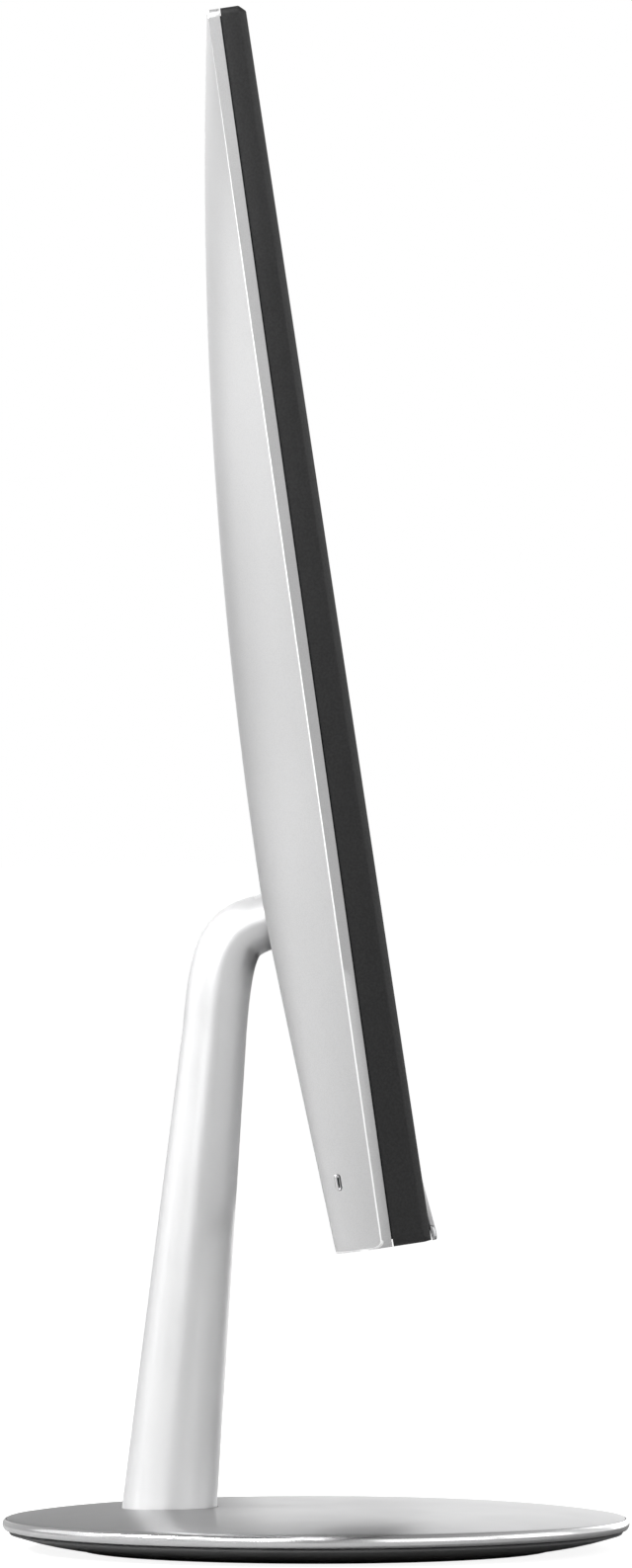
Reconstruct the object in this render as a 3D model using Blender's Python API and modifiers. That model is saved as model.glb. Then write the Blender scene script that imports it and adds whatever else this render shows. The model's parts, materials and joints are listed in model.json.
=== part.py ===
"""All-in-one desktop computer on a round stand, at rest. Metres, +Z up; the screen faces -Y.

Head pieces are placed in the head's own coordinates: x along its width, depth behind the front
face, height above the face's bottom edge. They hang under one empty on the tilt axis.
"""

import math

import bmesh
import bpy
from mathutils import Euler, Matrix, Vector

# Head: outline, tilt and thickness
HEAD_WIDTH = 0.541
HEAD_HEIGHT = 0.351
REST_TILT = math.radians(8.58)
BAND_AT_TOP, BAND_AT_BOTTOM = 0.0072, 0.0108      # depth of the black band
LIP_AT_TOP, LIP_AT_BOTTOM = 0.0036, 0.0030        # silver lip behind the band
THICKEST = 0.0330
THICKEST_DROP = 0.245                             # how far below the top edge the head is thickest
TOP_THICKNESS = 0.0111
BACK_CURVE = 2.05                                 # how late the back curves in towards the top
LOWER_TAPER = 0.0624                              # thickness lost per metre below the thickest line
WIDE_FLANK, NARROW_FLANK = 0.038, 0.014           # width of the rounded flanks, above and at the bottom
COVER_WALL = 0.0020
BEZEL_WALL = 0.0020
BEZEL_FACE = 0.0015
BEZEL_CHAMFER = 0.0018

# Screen
VIEW_WIDTH, VIEW_HEIGHT = 0.527, 0.2965
TOP_BORDER = 0.010
PANEL_WIDTH = 0.5358
PANEL_BOTTOM, PANEL_TOP = 0.0400, 0.3440

# Openings in the rear cover, in the head's coordinates
IO_LEFT, IO_RIGHT = -0.222, -0.072
IO_LOW, IO_HIGH = 0.0440, 0.0660
IO_PLATE_DEPTH = 0.0250
BUTTON_X, BUTTON_DEPTH = 0.228, 0.0200
LOCK_DEPTH, LOCK_HEIGHT = 0.0235, 0.0199
SPEAKER_X = 0.160

# Inside the head: panel, chassis, mainboard and blower
PANEL_DEPTH = 0.0018
CHASSIS_DEPTH = 0.0090
CHASSIS_THICKNESS = 0.0010
CABLE_SLOT = (-0.060, 0.209)
BOARD_LEFT, BOARD_RIGHT = -0.240, -0.050
BOARD_LOW, BOARD_HIGH = 0.038, 0.188
BOARD_FRONT, BOARD_BACK = 0.0140, 0.0156
CPU_X, CPU_HEIGHT = -0.105, 0.132
PLATE_FRONT, PLATE_BACK = 0.0182, 0.0209
PIPE_RADIUS = 0.0025
FAN_X, FAN_HEIGHT = 0.050, 0.1775
FAN_FRONT, FAN_BACK = 0.0107, 0.0227

# Rear connectors: name, centre x, width, low, high, mouth, tongue
SOCKETS = (
    ("video_port", -0.187, 0.0165, 0.0500, 0.0575, (0.0152, 0.0058), (0.0110, 0.0012)),
    ("usb_port_1", -0.165, 0.0145, 0.0500, 0.0572, (0.0128, 0.0056), (0.0110, 0.0020)),
    ("usb_port_2", -0.147, 0.0145, 0.0500, 0.0572, (0.0128, 0.0056), (0.0110, 0.0020)),
    ("usb_port_3", -0.129, 0.0145, 0.0500, 0.0572, (0.0128, 0.0056), (0.0110, 0.0020)),
    ("usb_port_4", -0.111, 0.0145, 0.0500, 0.0572, (0.0128, 0.0056), (0.0110, 0.0020)),
    ("network_port", -0.088, 0.0164, 0.0480, 0.0618, (0.0122, 0.0090), None),
)
SOCKET_END = 0.0266
ROUND_SOCKETS = (("power_inlet", -0.211, 0.0052, 0.0034), ("audio_jack", -0.2005, 0.0036, 0.0018))
ROUND_HEIGHT = 0.0537

# Tilt axis, in the world and in the head's coordinates
PIVOT = Vector((0.0, 0.003, 0.1955))
PIVOT_IN_HEAD = Vector((0.0, 0.0213, 0.0964))
SHAFT_RADIUS = 0.0040
KNUCKLE_RADIUS = 0.0074
KNUCKLE_HALF = 0.0225
EAR_THICKNESS = 0.0030
EAR_INSIDE = 0.0250
OPENING_HALF_WIDTH = 0.0120
OPENING_LOW, OPENING_HIGH = PIVOT_IN_HEAD.z - 0.0200, PIVOT_IN_HEAD.z + 0.0120

# Arm: centre line in the YZ plane as one straight run and one Bezier bend, and its radii
ARM_FOOT = Vector((0.0, 0.0447, 0.0092))
ARM_BEND_START = Vector((0.0, 0.0307, 0.1570))
ARM_BEND_HANDLES = (Vector((0.0, 0.0286, 0.1842)), Vector((0.0, 0.0255, 0.1868)))
ARM_BEND_END = Vector((0.0, 0.0155, 0.1897))
ARM_INSIDE_HEAD = 0.0045
ARM_FOOT_RADIUS, ARM_MIDDLE_RADIUS, ARM_END_RADIUS = 0.0144, 0.0097, 0.0085
ARM_WALL = 0.0021

# Base
BASE_RADIUS = 0.095
RIM_HEIGHT = 0.0093
DOME_RISE = 0.0035
DOME_POWER = 4.75
PLATE_THICKNESS = 0.0015
TUB_FOOT_RADIUS = 0.0762
FOOT_INNER, FOOT_OUTER = 0.0630, 0.0750
WEIGHT_RADIUS, WEIGHT_BOTTOM, WEIGHT_TOP = 0.0720, 0.0030, 0.0088
SCREW_CIRCLE = 0.0062
SCREW_RADIUS = 0.0016

GAP = 0.0003
HALF_WIDTH = HEAD_WIDTH / 2

# Finishes: colour, metallic, roughness
FINISHES = {
    "black": ((0.025, 0.025, 0.027), 0.0, 0.45),
    "screen": ((0.010, 0.011, 0.013), 0.0, 0.20),
    "silver": ((0.60, 0.61, 0.62), 0.6, 0.35),
    "satin": ((0.75, 0.76, 0.77), 0.9, 0.30),
    "chrome": ((0.85, 0.86, 0.87), 1.0, 0.06),
    "steel": ((0.50, 0.50, 0.51), 1.0, 0.40),
    "copper": ((0.72, 0.38, 0.22), 1.0, 0.30),
    "board": ((0.02, 0.14, 0.07), 0.0, 0.50),
    "rubber": ((0.020, 0.020, 0.020), 0.0, 0.85),
    "glass": ((0.05, 0.06, 0.08), 0.0, 0.05),
}


def clear_scene():
    for obj in list(bpy.data.objects):
        bpy.data.objects.remove(obj)


def new_collection(name):
    collection = bpy.data.collections.new(name)
    bpy.context.scene.collection.children.link(collection)
    return collection


clear_scene()
PARTS = new_collection("all_in_one_pc")
CUTTERS = new_collection("cutters")


def tilt_axis():
    """The empty on the tilt axis that every head piece hangs under."""
    axis = bpy.data.objects.new("tilt_axis", None)
    axis.location = PIVOT
    axis.rotation_euler = (-REST_TILT, 0.0, 0.0)
    PARTS.objects.link(axis)
    return axis


HEAD = tilt_axis()
STAND = None


# ---- Building blocks ----

def finish(obj, kind):
    colour, metallic, roughness = FINISHES[kind]
    material = bpy.data.materials.new(obj.name + "_finish")
    material.use_nodes = True
    shader = material.node_tree.nodes["Principled BSDF"]
    shader.inputs["Base Color"].default_value = (*colour, 1.0)
    shader.inputs["Metallic"].default_value = metallic
    shader.inputs["Roughness"].default_value = roughness
    obj.data.materials.append(material)


def place(obj, origin, frame):
    origin = Vector(origin)
    if frame is HEAD:
        obj.parent = HEAD
        origin = origin - PIVOT_IN_HEAD
    obj.location = origin


def add(name, bm, origin, kind, frame):
    """A piece from bm, whose points are counted from `origin`."""
    mesh = bpy.data.meshes.new(name)
    bm.to_mesh(mesh)
    bm.free()
    obj = bpy.data.objects.new(name, mesh)
    PARTS.objects.link(obj)
    place(obj, origin, frame)
    finish(obj, kind)
    return obj


def smooth(obj, angle=40.0):
    obj.data.shade_smooth()
    obj.data.set_sharp_from_angle(angle=math.radians(angle))
    return obj


def helper(obj):
    """Turns a piece into a cutter or a joined shape, which isn't a piece of its own."""
    PARTS.objects.unlink(obj)
    CUTTERS.objects.link(obj)
    obj.hide_render = True
    obj.display_type = "WIRE"
    return obj


def boolean(obj, other, operation):
    modifier = obj.modifiers.new(other.name, "BOOLEAN")
    modifier.operation = operation
    modifier.object = helper(other)
    return obj


def cut(obj, *cutters):
    for cutter in cutters:
        boolean(obj, cutter, "DIFFERENCE")
    return obj


def join(obj, *shapes):
    for shape in shapes:
        boolean(obj, shape, "UNION")
    return obj


def soften(obj, width, segments=1):
    """Rounds a piece's sharp edges."""
    modifier = obj.modifiers.new("soft_edges", "BEVEL")
    modifier.width = width
    modifier.segments = segments
    modifier.limit_method = "ANGLE"
    return obj


def boxes(name, corners, kind, frame):
    """One object of separate boxes, each given by its lowest and highest corner."""
    origin = (Vector(corners[0][0]) + Vector(corners[0][1])) / 2
    bm = bmesh.new()
    for low, high in corners:
        low, high = Vector(low), Vector(high)
        placing = Matrix.LocRotScale((low + high) / 2 - origin, None, high - low)
        bmesh.ops.create_cube(bm, size=1.0, matrix=placing)
    return add(name, bm, origin, kind, frame)


def box(name, low, high, kind, frame):
    return boxes(name, [(low, high)], kind, frame)


TURNS = {
    "x": Euler((0.0, math.pi / 2, 0.0)).to_matrix().to_4x4(),
    "depth": Euler((math.pi / 2, 0.0, 0.0)).to_matrix().to_4x4(),
    "up": Matrix.Identity(4),
}


def rod(name, centre, radius, length, along, kind, frame, sides=20, end_radius=None):
    """A cylinder or cone about `centre`. `along` is x, depth or up, or a turning matrix."""
    bm = bmesh.new()
    turn = TURNS[along] if isinstance(along, str) else along
    top = radius if end_radius is None else end_radius
    bmesh.ops.create_cone(
        bm, cap_ends=True, segments=sides, radius1=radius, radius2=top, depth=length, matrix=turn
    )
    return smooth(add(name, bm, centre, kind, frame))


def turned(name, profile, origin, kind, frame, steps=48):
    """A closed ring or a disc about the vertical through `origin`, from (radius, height) points."""
    mesh = bpy.data.meshes.new(name)
    points = [(radius, 0.0, height) for radius, height in profile]
    closed = all(radius > 0.0 for radius, _ in profile)
    edges = [(i, i + 1) for i in range(len(points) - 1)]
    if closed:
        edges.append((len(points) - 1, 0))
    mesh.from_pydata(points, edges, [])
    obj = bpy.data.objects.new(name, mesh)
    PARTS.objects.link(obj)
    place(obj, origin, frame)
    screw = obj.modifiers.new("turn", "SCREW")
    screw.steps = screw.render_steps = steps
    screw.use_merge_vertices = True
    screw.merge_threshold = 0.00005
    screw.use_smooth_shade = True
    finish(obj, kind)
    return obj


def tube(name, points, radii, kind, frame, sides_step=2):
    """A solid round bar through `points`, made a mesh so that it can be cut."""
    curve = bpy.data.curves.new(name, "CURVE")
    curve.dimensions = "3D"
    curve.bevel_depth = 1.0
    curve.bevel_resolution = sides_step
    curve.use_fill_caps = True
    spline = curve.splines.new("POLY")
    spline.points.add(len(points) - 1)
    for point, place_at, radius in zip(spline.points, points, radii):
        point.co = (*place_at, 1.0)
        point.radius = radius
    guide = bpy.data.objects.new(name + "_curve", curve)
    PARTS.objects.link(guide)
    place(guide, (0.0, 0.0, 0.0), frame)
    bpy.context.view_layer.update()
    evaluated = guide.evaluated_get(bpy.context.evaluated_depsgraph_get())
    mesh = bpy.data.meshes.new_from_object(evaluated)
    bm = bmesh.new()
    bm.from_mesh(mesh)
    bmesh.ops.remove_doubles(bm, verts=bm.verts, dist=0.00002)
    bmesh.ops.recalc_face_normals(bm, faces=bm.faces)
    obj = add(name, bm, (0.0, 0.0, 0.0), kind, frame)
    bpy.data.objects.remove(guide)
    return smooth(obj)


def wire(name, points, radius, kind):
    """A thin cable inside the head, rounded through its own points."""
    path = smooth_path([Vector(point) for point in points])
    return tube(name, path, [radius] * len(path), kind, HEAD)


def smooth_path(points, steps=4):
    """Catmull-Rom points through the given ones."""
    ends = [2 * points[0] - points[1], *points, 2 * points[-1] - points[-2]]
    path = []
    for before, start, end, after in zip(ends, ends[1:], ends[2:], ends[3:]):
        for step in range(steps):
            t = step / steps
            bend = start * (1 - 2.5 * t ** 2 + 1.5 * t ** 3)
            bend += before * (-0.5 * t + t ** 2 - 0.5 * t ** 3)
            bend += end * (0.5 * t + 2 * t ** 2 - 1.5 * t ** 3)
            bend += after * (-0.5 * t ** 2 + 0.5 * t ** 3)
            path.append(bend)
    return path + [points[-1]]


# ---- Head: the form of its back ----

def between(low, high, share):
    return low + (high - low) * share


def band_depth(height):
    return between(BAND_AT_BOTTOM, BAND_AT_TOP, height / HEAD_HEIGHT)


def crease_depth(height):
    return band_depth(height) + between(LIP_AT_BOTTOM, LIP_AT_TOP, height / HEAD_HEIGHT)


def full_depth(height):
    """Thickness of the head between its flanks: a curve above its thickest line, a taper below."""
    drop = HEAD_HEIGHT - height
    if drop < THICKEST_DROP:
        share = (THICKEST_DROP - drop) / THICKEST_DROP
        return THICKEST - (THICKEST - TOP_THICKNESS) * share ** BACK_CURVE
    below = drop - THICKEST_DROP
    easing = 0.012
    return THICKEST - LOWER_TAPER * (math.hypot(below, easing) - easing)


def flank_width(height):
    share = min(1.0, height / 0.160)
    return between(NARROW_FLANK, WIDE_FLANK, share * share * (3 - 2 * share))


def back_depth(x, height):
    across = min(1.0, (HALF_WIDTH - abs(x)) / flank_width(height))
    rise = 1.0 - (1.0 - across) ** 2
    return between(crease_depth(height), full_depth(height), rise)


FLANK_STEPS = (0.0, 0.15, 0.35, 0.6, 1.0)


def cover_rows():
    """Heights of the cover's cross-sections, closer together where its back bends more."""
    count = 18
    return [HEAD_HEIGHT * (1 - (row / count) ** 1.15) for row in range(count + 1)]


def cover_surface():
    """The open outer skin of the rear cover: its domed back with the lip folded forward."""
    rows = cover_rows()
    columns = 2 * len(FLANK_STEPS)
    bm = bmesh.new()
    bmesh.ops.create_grid(bm, x_segments=columns - 1, y_segments=len(rows) - 1, size=0.5)
    bm.verts.ensure_lookup_table()
    for vert in bm.verts:
        column = round((vert.co.x + 0.5) * (columns - 1))
        row = round((0.5 - vert.co.y) * (len(rows) - 1))
        height = rows[row]
        step = FLANK_STEPS[min(column, columns - 1 - column)]
        side = -1.0 if column < columns / 2 else 1.0
        x = side * (HALF_WIDTH - step * flank_width(height))
        vert.co = (x, back_depth(x, height), height)
    rim = [edge for edge in bm.edges if edge.is_boundary]
    folded = bmesh.ops.extrude_edge_only(bm, edges=rim)
    for vert in folded["geom"]:
        if isinstance(vert, bmesh.types.BMVert):
            vert.co.y = band_depth(vert.co.z) + GAP
    bmesh.ops.recalc_face_normals(bm, faces=bm.faces)
    rearmost = max(bm.faces, key=lambda face: face.calc_center_median().y)
    if rearmost.normal.y < 0:
        bmesh.ops.reverse_faces(bm, faces=bm.faces)
    return bm


# ---- Head: casing ----

def slots(name, centres, size):
    """One object with a box of `size` about each centre, in the head."""
    half = Vector(size) / 2
    return boxes(name, [(Vector(c) - half, Vector(c) + half) for c in centres], "steel", HEAD)


def row_of(count, pitch, middle=0.0):
    return [middle + pitch * (i - (count - 1) / 2) for i in range(count)]


def air_slots():
    """Cutters for the outlet over the fins, the blower's inlet and the two speakers."""
    outlet = [(x, 0.030, 0.232) for x in row_of(24, 0.008)]
    inlet = [(x, 0.033, 0.172) for x in row_of(12, 0.006, FAN_X)]
    sound = [(side * SPEAKER_X + x, 0.0185, 0.0) for side in (-1, 1) for x in row_of(9, 0.005)]
    return (
        slots("exhaust_slots", outlet, (0.003, 0.016, 0.016)),
        slots("intake_slots", inlet, (0.0024, 0.012, 0.026)),
        slots("speaker_slots", sound, (0.002, 0.007, 0.012)),
    )


def arm_window():
    trim = 0.0018
    low = (-OPENING_HALF_WIDTH - trim, 0.026, OPENING_LOW - trim)
    high = (OPENING_HALF_WIDTH + trim, 0.040, OPENING_HIGH + trim)
    return box("arm_window", low, high, "black", HEAD)


def button_hole():
    low = (BUTTON_X - 0.0068, BUTTON_DEPTH - 0.0033, -0.005)
    high = (BUTTON_X + 0.0068, BUTTON_DEPTH + 0.0033, 0.005)
    return box("button_hole", low, high, "black", HEAD)


def lock_hole():
    low = (-HALF_WIDTH - 0.010, LOCK_DEPTH - 0.0014, LOCK_HEIGHT - 0.0032)
    high = (-HALF_WIDTH + 0.016, LOCK_DEPTH + 0.0014, LOCK_HEIGHT + 0.0032)
    return box("lock_hole", low, high, "black", HEAD)


def rear_cover():
    cover = add("rear_cover", cover_surface(), (0.0, 0.0, 0.0), "silver", HEAD)
    smooth(cover, 35.0)
    shell = cover.modifiers.new("wall", "SOLIDIFY")
    shell.thickness = COVER_WALL
    shell.offset = -1.0
    shell.use_even_offset = True
    io_window = box("io_window", (IO_LEFT, 0.022, IO_LOW), (IO_RIGHT, 0.040, IO_HIGH), "black", HEAD)
    cut(cover, io_window, arm_window(), *air_slots(), button_hole(), lock_hole())


def front_bezel():
    """A tray open at the back, its depth growing towards the bottom, with the screen's window."""
    bm = bmesh.new()
    bmesh.ops.create_cube(bm, size=1.0)
    for vert in bm.verts:
        height = (vert.co.z + 0.5) * HEAD_HEIGHT
        depth = band_depth(height) if vert.co.y > 0 else 0.0
        vert.co = (vert.co.x * HEAD_WIDTH, depth, height)
    front = [edge for edge in bm.edges if all(vert.co.y == 0.0 for vert in edge.verts)]
    bmesh.ops.bevel(bm, geom=front, offset=BEZEL_CHAMFER, segments=2, profile=0.5, affect="EDGES")
    bezel = smooth(add("front_bezel", bm, (0.0, 0.0, 0.0), "black", HEAD))
    inside = HALF_WIDTH - BEZEL_WALL
    view_top = HEAD_HEIGHT - TOP_BORDER
    hollow_low = (-inside, BEZEL_FACE, BEZEL_WALL)
    hollow_high = (inside, 0.03, HEAD_HEIGHT - BEZEL_WALL)
    view_low = (-VIEW_WIDTH / 2, -0.01, view_top - VIEW_HEIGHT)
    view_high = (VIEW_WIDTH / 2, 0.01, view_top)
    cut(
        bezel,
        box("bezel_hollow", hollow_low, hollow_high, "black", HEAD),
        box("view_window", view_low, view_high, "black", HEAD),
        rod("camera_hole", (0.0, 0.0, 0.3464), 0.0018, 0.02, "depth", "black", HEAD, 16),
    )


def chin_trim():
    """Low bright strip on the front face along the bottom edge, thickest near its top."""
    outline = [
        (-GAP, 0.0003), (-0.0008, 0.0003), (-0.0012, 0.0018), (-0.0015, 0.0032), (-0.0016, 0.0042),
        (-0.0013, 0.0047), (-GAP, 0.0048),
    ]
    curve = bpy.data.curves.new("chin_trim", "CURVE")
    curve.dimensions = "2D"
    curve.fill_mode = "BOTH"
    curve.extrude = HALF_WIDTH - 0.0025
    spline = curve.splines.new("POLY")
    spline.points.add(len(outline) - 1)
    spline.use_cyclic_u = True
    for point, (depth, height) in zip(spline.points, outline):
        point.co = (depth, height, 0.0, 1.0)
    rail = bpy.data.objects.new("chin_trim", curve)
    PARTS.objects.link(rail)
    place(rail, (0.0, 0.0, 0.0), HEAD)
    rail.rotation_euler = Matrix(((0, 0, 1), (1, 0, 0), (0, 1, 0))).to_euler()
    finish(rail, "chrome")


def arm_opening_trim():
    """Frame that lines the opening in the cover round the arm."""
    wall = 0.0015
    depth = full_depth(PIVOT_IN_HEAD.z)
    low = (-OPENING_HALF_WIDTH - wall, depth - 0.0040, OPENING_LOW - wall)
    high = (OPENING_HALF_WIDTH + wall, depth + 0.0004, OPENING_HIGH + wall)
    frame = box("arm_opening_trim", low, high, "black", HEAD)
    hole_low = (-OPENING_HALF_WIDTH, 0.02, OPENING_LOW)
    hole_high = (OPENING_HALF_WIDTH, 0.04, OPENING_HIGH)
    cut(frame, box("arm_opening", hole_low, hole_high, "black", HEAD))


def lock_slot_insert():
    """Steel plate with the security slot, behind the hole in the cover's flank."""
    x = -HALF_WIDTH + 0.0150
    low = (x, LOCK_DEPTH - 0.0055, LOCK_HEIGHT - 0.0080)
    high = (x + 0.0016, LOCK_DEPTH + 0.0019, LOCK_HEIGHT + 0.0080)
    plate = box("lock_slot_insert", low, high, "steel", HEAD)
    cut(plate, slots("lock_slot", [(x, LOCK_DEPTH, LOCK_HEIGHT)], (0.02, 0.0026, 0.0060)))


# ---- Head: display ----

def display():
    half = PANEL_WIDTH / 2
    panel_back = PANEL_DEPTH + 0.0014
    unit_low, unit_high = (-half, panel_back + GAP, PANEL_BOTTOM), (half, 0.0083, PANEL_TOP)
    box("lcd_panel", (-half, PANEL_DEPTH, PANEL_BOTTOM), (half, panel_back, PANEL_TOP), "screen", HEAD)
    soften(box("backlight_unit", unit_low, unit_high, "steel", HEAD), 0.0006)


def chassis_plate():
    """Steel plate that carries the panel, the boards and the hinge, stiffened by folded edges."""
    half, low, high = 0.235, 0.033, 0.318
    fold = 0.0040
    back = CHASSIS_DEPTH + CHASSIS_THICKNESS
    plate = box("chassis_plate", (-half, CHASSIS_DEPTH, low), (half, back, high), "steel", HEAD)
    join(
        plate,
        box("lower_fold", (-half, CHASSIS_DEPTH, low), (half, back + fold, low + 0.001), "steel", HEAD),
        box("upper_fold", (-half, CHASSIS_DEPTH, high - 0.001), (half, back + fold, high), "steel", HEAD),
    )
    x, height = CABLE_SLOT
    cut(plate, rod("cable_slot", (x, 0.009, height), 0.004, 0.02, "depth", "steel", HEAD, 16))


def webcam():
    board = box("webcam_board", (-0.032, 0.0024, 0.3444), (0.032, 0.0044, 0.3486), "board", HEAD)
    soften(board, 0.0003)
    lens = rod("webcam_lens", (0.0, 0.0013, 0.3464), 0.0015, 0.0014, "depth", "glass", HEAD, 16)
    soften(lens, 0.0002)


# ---- Head: computer ----

def mainboard():
    """Circuit board with its chipset, regulator coils, capacitors, connectors and spacers."""
    low, high = (BOARD_LEFT, BOARD_FRONT, BOARD_LOW), (BOARD_RIGHT, BOARD_BACK, BOARD_HIGH)
    board = box("mainboard", low, high, "board", HEAD)
    inside = BOARD_BACK - 0.0004
    chipset = [((-0.146, inside, 0.078), (-0.126, 0.0175, 0.098))]
    coils = [((-0.074, inside, 0.100 + i * 0.011), (-0.065, 0.0195, 0.109 + i * 0.011)) for i in range(4)]
    capacitors = [
        ((-0.090 + i * 0.007, inside, 0.164), (-0.086 + i * 0.007, 0.0205, 0.168)) for i in range(4)
    ]
    connectors = [
        ((-0.0565, inside, 0.142), (-0.0515, 0.0185, 0.150)),
        ((-0.0565, inside, 0.048), (-0.0515, 0.0190, 0.056)),
        ((-0.068, inside, 0.178), (-0.052, 0.0185, 0.184)),
    ]
    parts = chipset + coils + capacitors + connectors
    join(board, boxes("board_parts", parts, "board", HEAD), board_spacers())


def board_spacers():
    middle = (CHASSIS_DEPTH + CHASSIS_THICKNESS + GAP + BOARD_FRONT + 0.0004) / 2
    length = BOARD_FRONT + 0.0004 - CHASSIS_DEPTH - CHASSIS_THICKNESS - GAP
    inset = 0.008
    centres = [
        (x, middle, height)
        for x in (BOARD_LEFT + inset, BOARD_RIGHT - inset)
        for height in (BOARD_LOW + inset, BOARD_HIGH - inset)
    ]
    return slots("spacers", centres, (0.004, length, 0.004))


def processor():
    half = 0.0175
    low = (CPU_X - half, BOARD_BACK + GAP, CPU_HEIGHT - half)
    high = (CPU_X + half, 0.0171, CPU_HEIGHT + half)
    body = box("processor", low, high, "board", HEAD)
    join(body, slots("die", [(CPU_X, 0.01735, CPU_HEIGHT)], (0.016, 0.0011, 0.012)))


def cooler():
    """Cold plate on the processor, heat pipe to the fins, and the fins at the blower's outlet."""
    half = 0.022
    low = (CPU_X - half, PLATE_FRONT, CPU_HEIGHT - half)
    high = (CPU_X + half, PLATE_BACK, CPU_HEIGHT + half)
    soften(box("cold_plate", low, high, "copper", HEAD), 0.0006)
    on_plate = PLATE_BACK + GAP + PIPE_RADIUS
    route = [
        (-0.124, on_plate, 0.132), (-0.100, on_plate, 0.132), (-0.070, on_plate, 0.134),
        (-0.035, 0.0232, 0.158), (-0.016, 0.0226, 0.192), (0.002, 0.0224, 0.216),
        (0.022, 0.0224, 0.223), (0.050, 0.0224, 0.223), (0.086, 0.0224, 0.223),
    ]
    wire("heat_pipe", route, PIPE_RADIUS, "copper")
    fins = box("fin_stack", (0.0150, 0.0180, 0.2165), (0.0870, 0.0194, 0.2300), "steel", HEAD)
    blades = [(0.0153 + i * 0.004, 0.0148, 0.22325) for i in range(18)]
    join(fins, slots("blades", blades, (0.0006, 0.0072, 0.0135)))


def fan_housing():
    half = 0.0375
    wall = 0.0010
    low = (FAN_X - half, FAN_FRONT, FAN_HEIGHT - half)
    high = (FAN_X + half, FAN_BACK, FAN_HEIGHT + half)
    housing = box("fan_housing", low, high, "black", HEAD)
    middle = (FAN_FRONT + FAN_BACK) / 2
    inner_depth = FAN_BACK - FAN_FRONT - 2 * wall
    cut(
        housing,
        rod("fan_hollow", (FAN_X, middle, FAN_HEIGHT), 0.0335, inner_depth, "depth", "black", HEAD, 32),
        slots(
            "fan_outlet", [(FAN_X, middle, FAN_HEIGHT + 0.025)],
            (0.064, inner_depth - 0.8 * wall, 0.050),
        ),
        rod("fan_inlet", (FAN_X, FAN_BACK, FAN_HEIGHT), 0.0220, 0.01, "depth", "black", HEAD, 32),
    )
    centre = (FAN_X, FAN_FRONT + 0.0035, FAN_HEIGHT)
    join(housing, rod("fan_post", centre, 0.0015, 0.0065, "depth", "steel", HEAD, 12))


def fan_rotor():
    front, back = FAN_FRONT + 0.0020, FAN_BACK - 0.0018
    middle = (front + back) / 2
    hub = rod("fan_rotor", (FAN_X, middle, FAN_HEIGHT), 0.0120, back - front, "depth", "black", HEAD, 24)
    bm = bmesh.new()
    count, root, reach = 11, 0.0110, 0.0290
    size = (reach - root, back - front - 0.001, 0.0008)
    blade = Matrix.LocRotScale(((reach + root) / 2, 0.0, 0.0), Euler((0.0, 0.35, 0.0)), size)
    for i in range(count):
        turn = Matrix.Rotation(2 * math.pi * i / count, 4, "Y")
        bmesh.ops.create_cube(bm, size=1.0, matrix=turn @ blade)
    join(hub, add("rotor_blades", bm, (FAN_X, middle, FAN_HEIGHT), "black", HEAD))
    cut(hub, rod("rotor_bore", (FAN_X, front, FAN_HEIGHT), 0.0018, 0.0130, "depth", "steel", HEAD, 12))


def memory():
    """Two memory modules flat over the board, each in its socket along the left edge."""
    for number, low in ((1, 0.074), (2, 0.112)):
        corners = (-0.2380, BOARD_BACK + GAP, low), (-0.1660, 0.0205, low + 0.0060)
        holder = box(f"memory_socket_{number}", *corners, "black", HEAD)
        cut(holder, slots("module_slot", [(-0.202, 0.0187, low + 0.0060)], (0.070, 0.0018, 0.008)))
        corners = (-0.2358, 0.0181, low + 0.0024), (-0.1682, 0.0193, low + 0.0320)
        module = box(f"memory_module_{number}", *corners, "board", HEAD)
        chips = [(-0.227 + i * 0.0165, 0.01975, low + 0.0180) for i in range(4)]
        join(module, slots("chips", chips, (0.012, 0.0015, 0.012)))


def storage_and_radio():
    ssd = box("ssd_module", (-0.2380, 0.0178, 0.1600), (-0.1580, 0.0186, 0.1820), "board", HEAD)
    flash = [(-0.222 + i * 0.022, 0.0192, 0.171) for i in range(3)]
    join(ssd, slots("flash", flash, (0.016, 0.0016, 0.014)))
    card = box("wireless_card", (-0.1500, 0.0178, 0.1600), (-0.1200, 0.0186, 0.1820), "board", HEAD)
    join(card, box("shield", (-0.1460, 0.0184, 0.1630), (-0.1260, 0.0200, 0.1790), "steel", HEAD))
    cell = rod("coin_cell", (-0.090, 0.0176, 0.086), 0.0100, 0.0032, "depth", "steel", HEAD, 28)
    soften(cell, 0.0004)


def hard_drive():
    drive = box("hard_drive", (0.1120, 0.0134, 0.0580), (0.2120, 0.0204, 0.1280), "steel", HEAD)
    soften(drive, 0.0012, 2)
    tray = box("drive_tray", (0.1080, 0.0104, 0.0540), (0.2160, 0.0220, 0.1320), "steel", HEAD)
    hollow = box("tray_hollow", (0.1090, 0.0114, 0.0400), (0.2150, 0.0300, 0.1500), "steel", HEAD)
    notch = box("cable_notch", (0.1000, 0.0140, 0.0680), (0.1115, 0.0300, 0.0760), "steel", HEAD)
    cut(tray, hollow, notch)


def speakers():
    for side, name in ((-1, "left"), (1, "right")):
        x = side * SPEAKER_X
        low, high = (x - 0.030, 0.0115, 0.0050), (x + 0.030, 0.0225, 0.0300)
        speaker = soften(box(f"speaker_{name}", low, high, "black", HEAD), 0.0015, 2)
        mouth = rod("mouth", (x, 0.0170, 0.0050), 0.0042, 0.0060, "up", "black", HEAD, 20)
        cut(speaker, mouth)


def antennas():
    for side, name in ((-1, "left"), (1, "right")):
        x = side * 0.150
        low, high = (x - 0.022, 0.0088, 0.3240), (x + 0.022, 0.0094, 0.3340)
        strip = box(f"antenna_{name}", low, high, "copper", HEAD)
        low, high = (x - 0.014, 0.0080, 0.3285), (x + 0.030, 0.0100, 0.3300)
        cut(strip, box("antenna_slit", low, high, "copper", HEAD))


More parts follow.
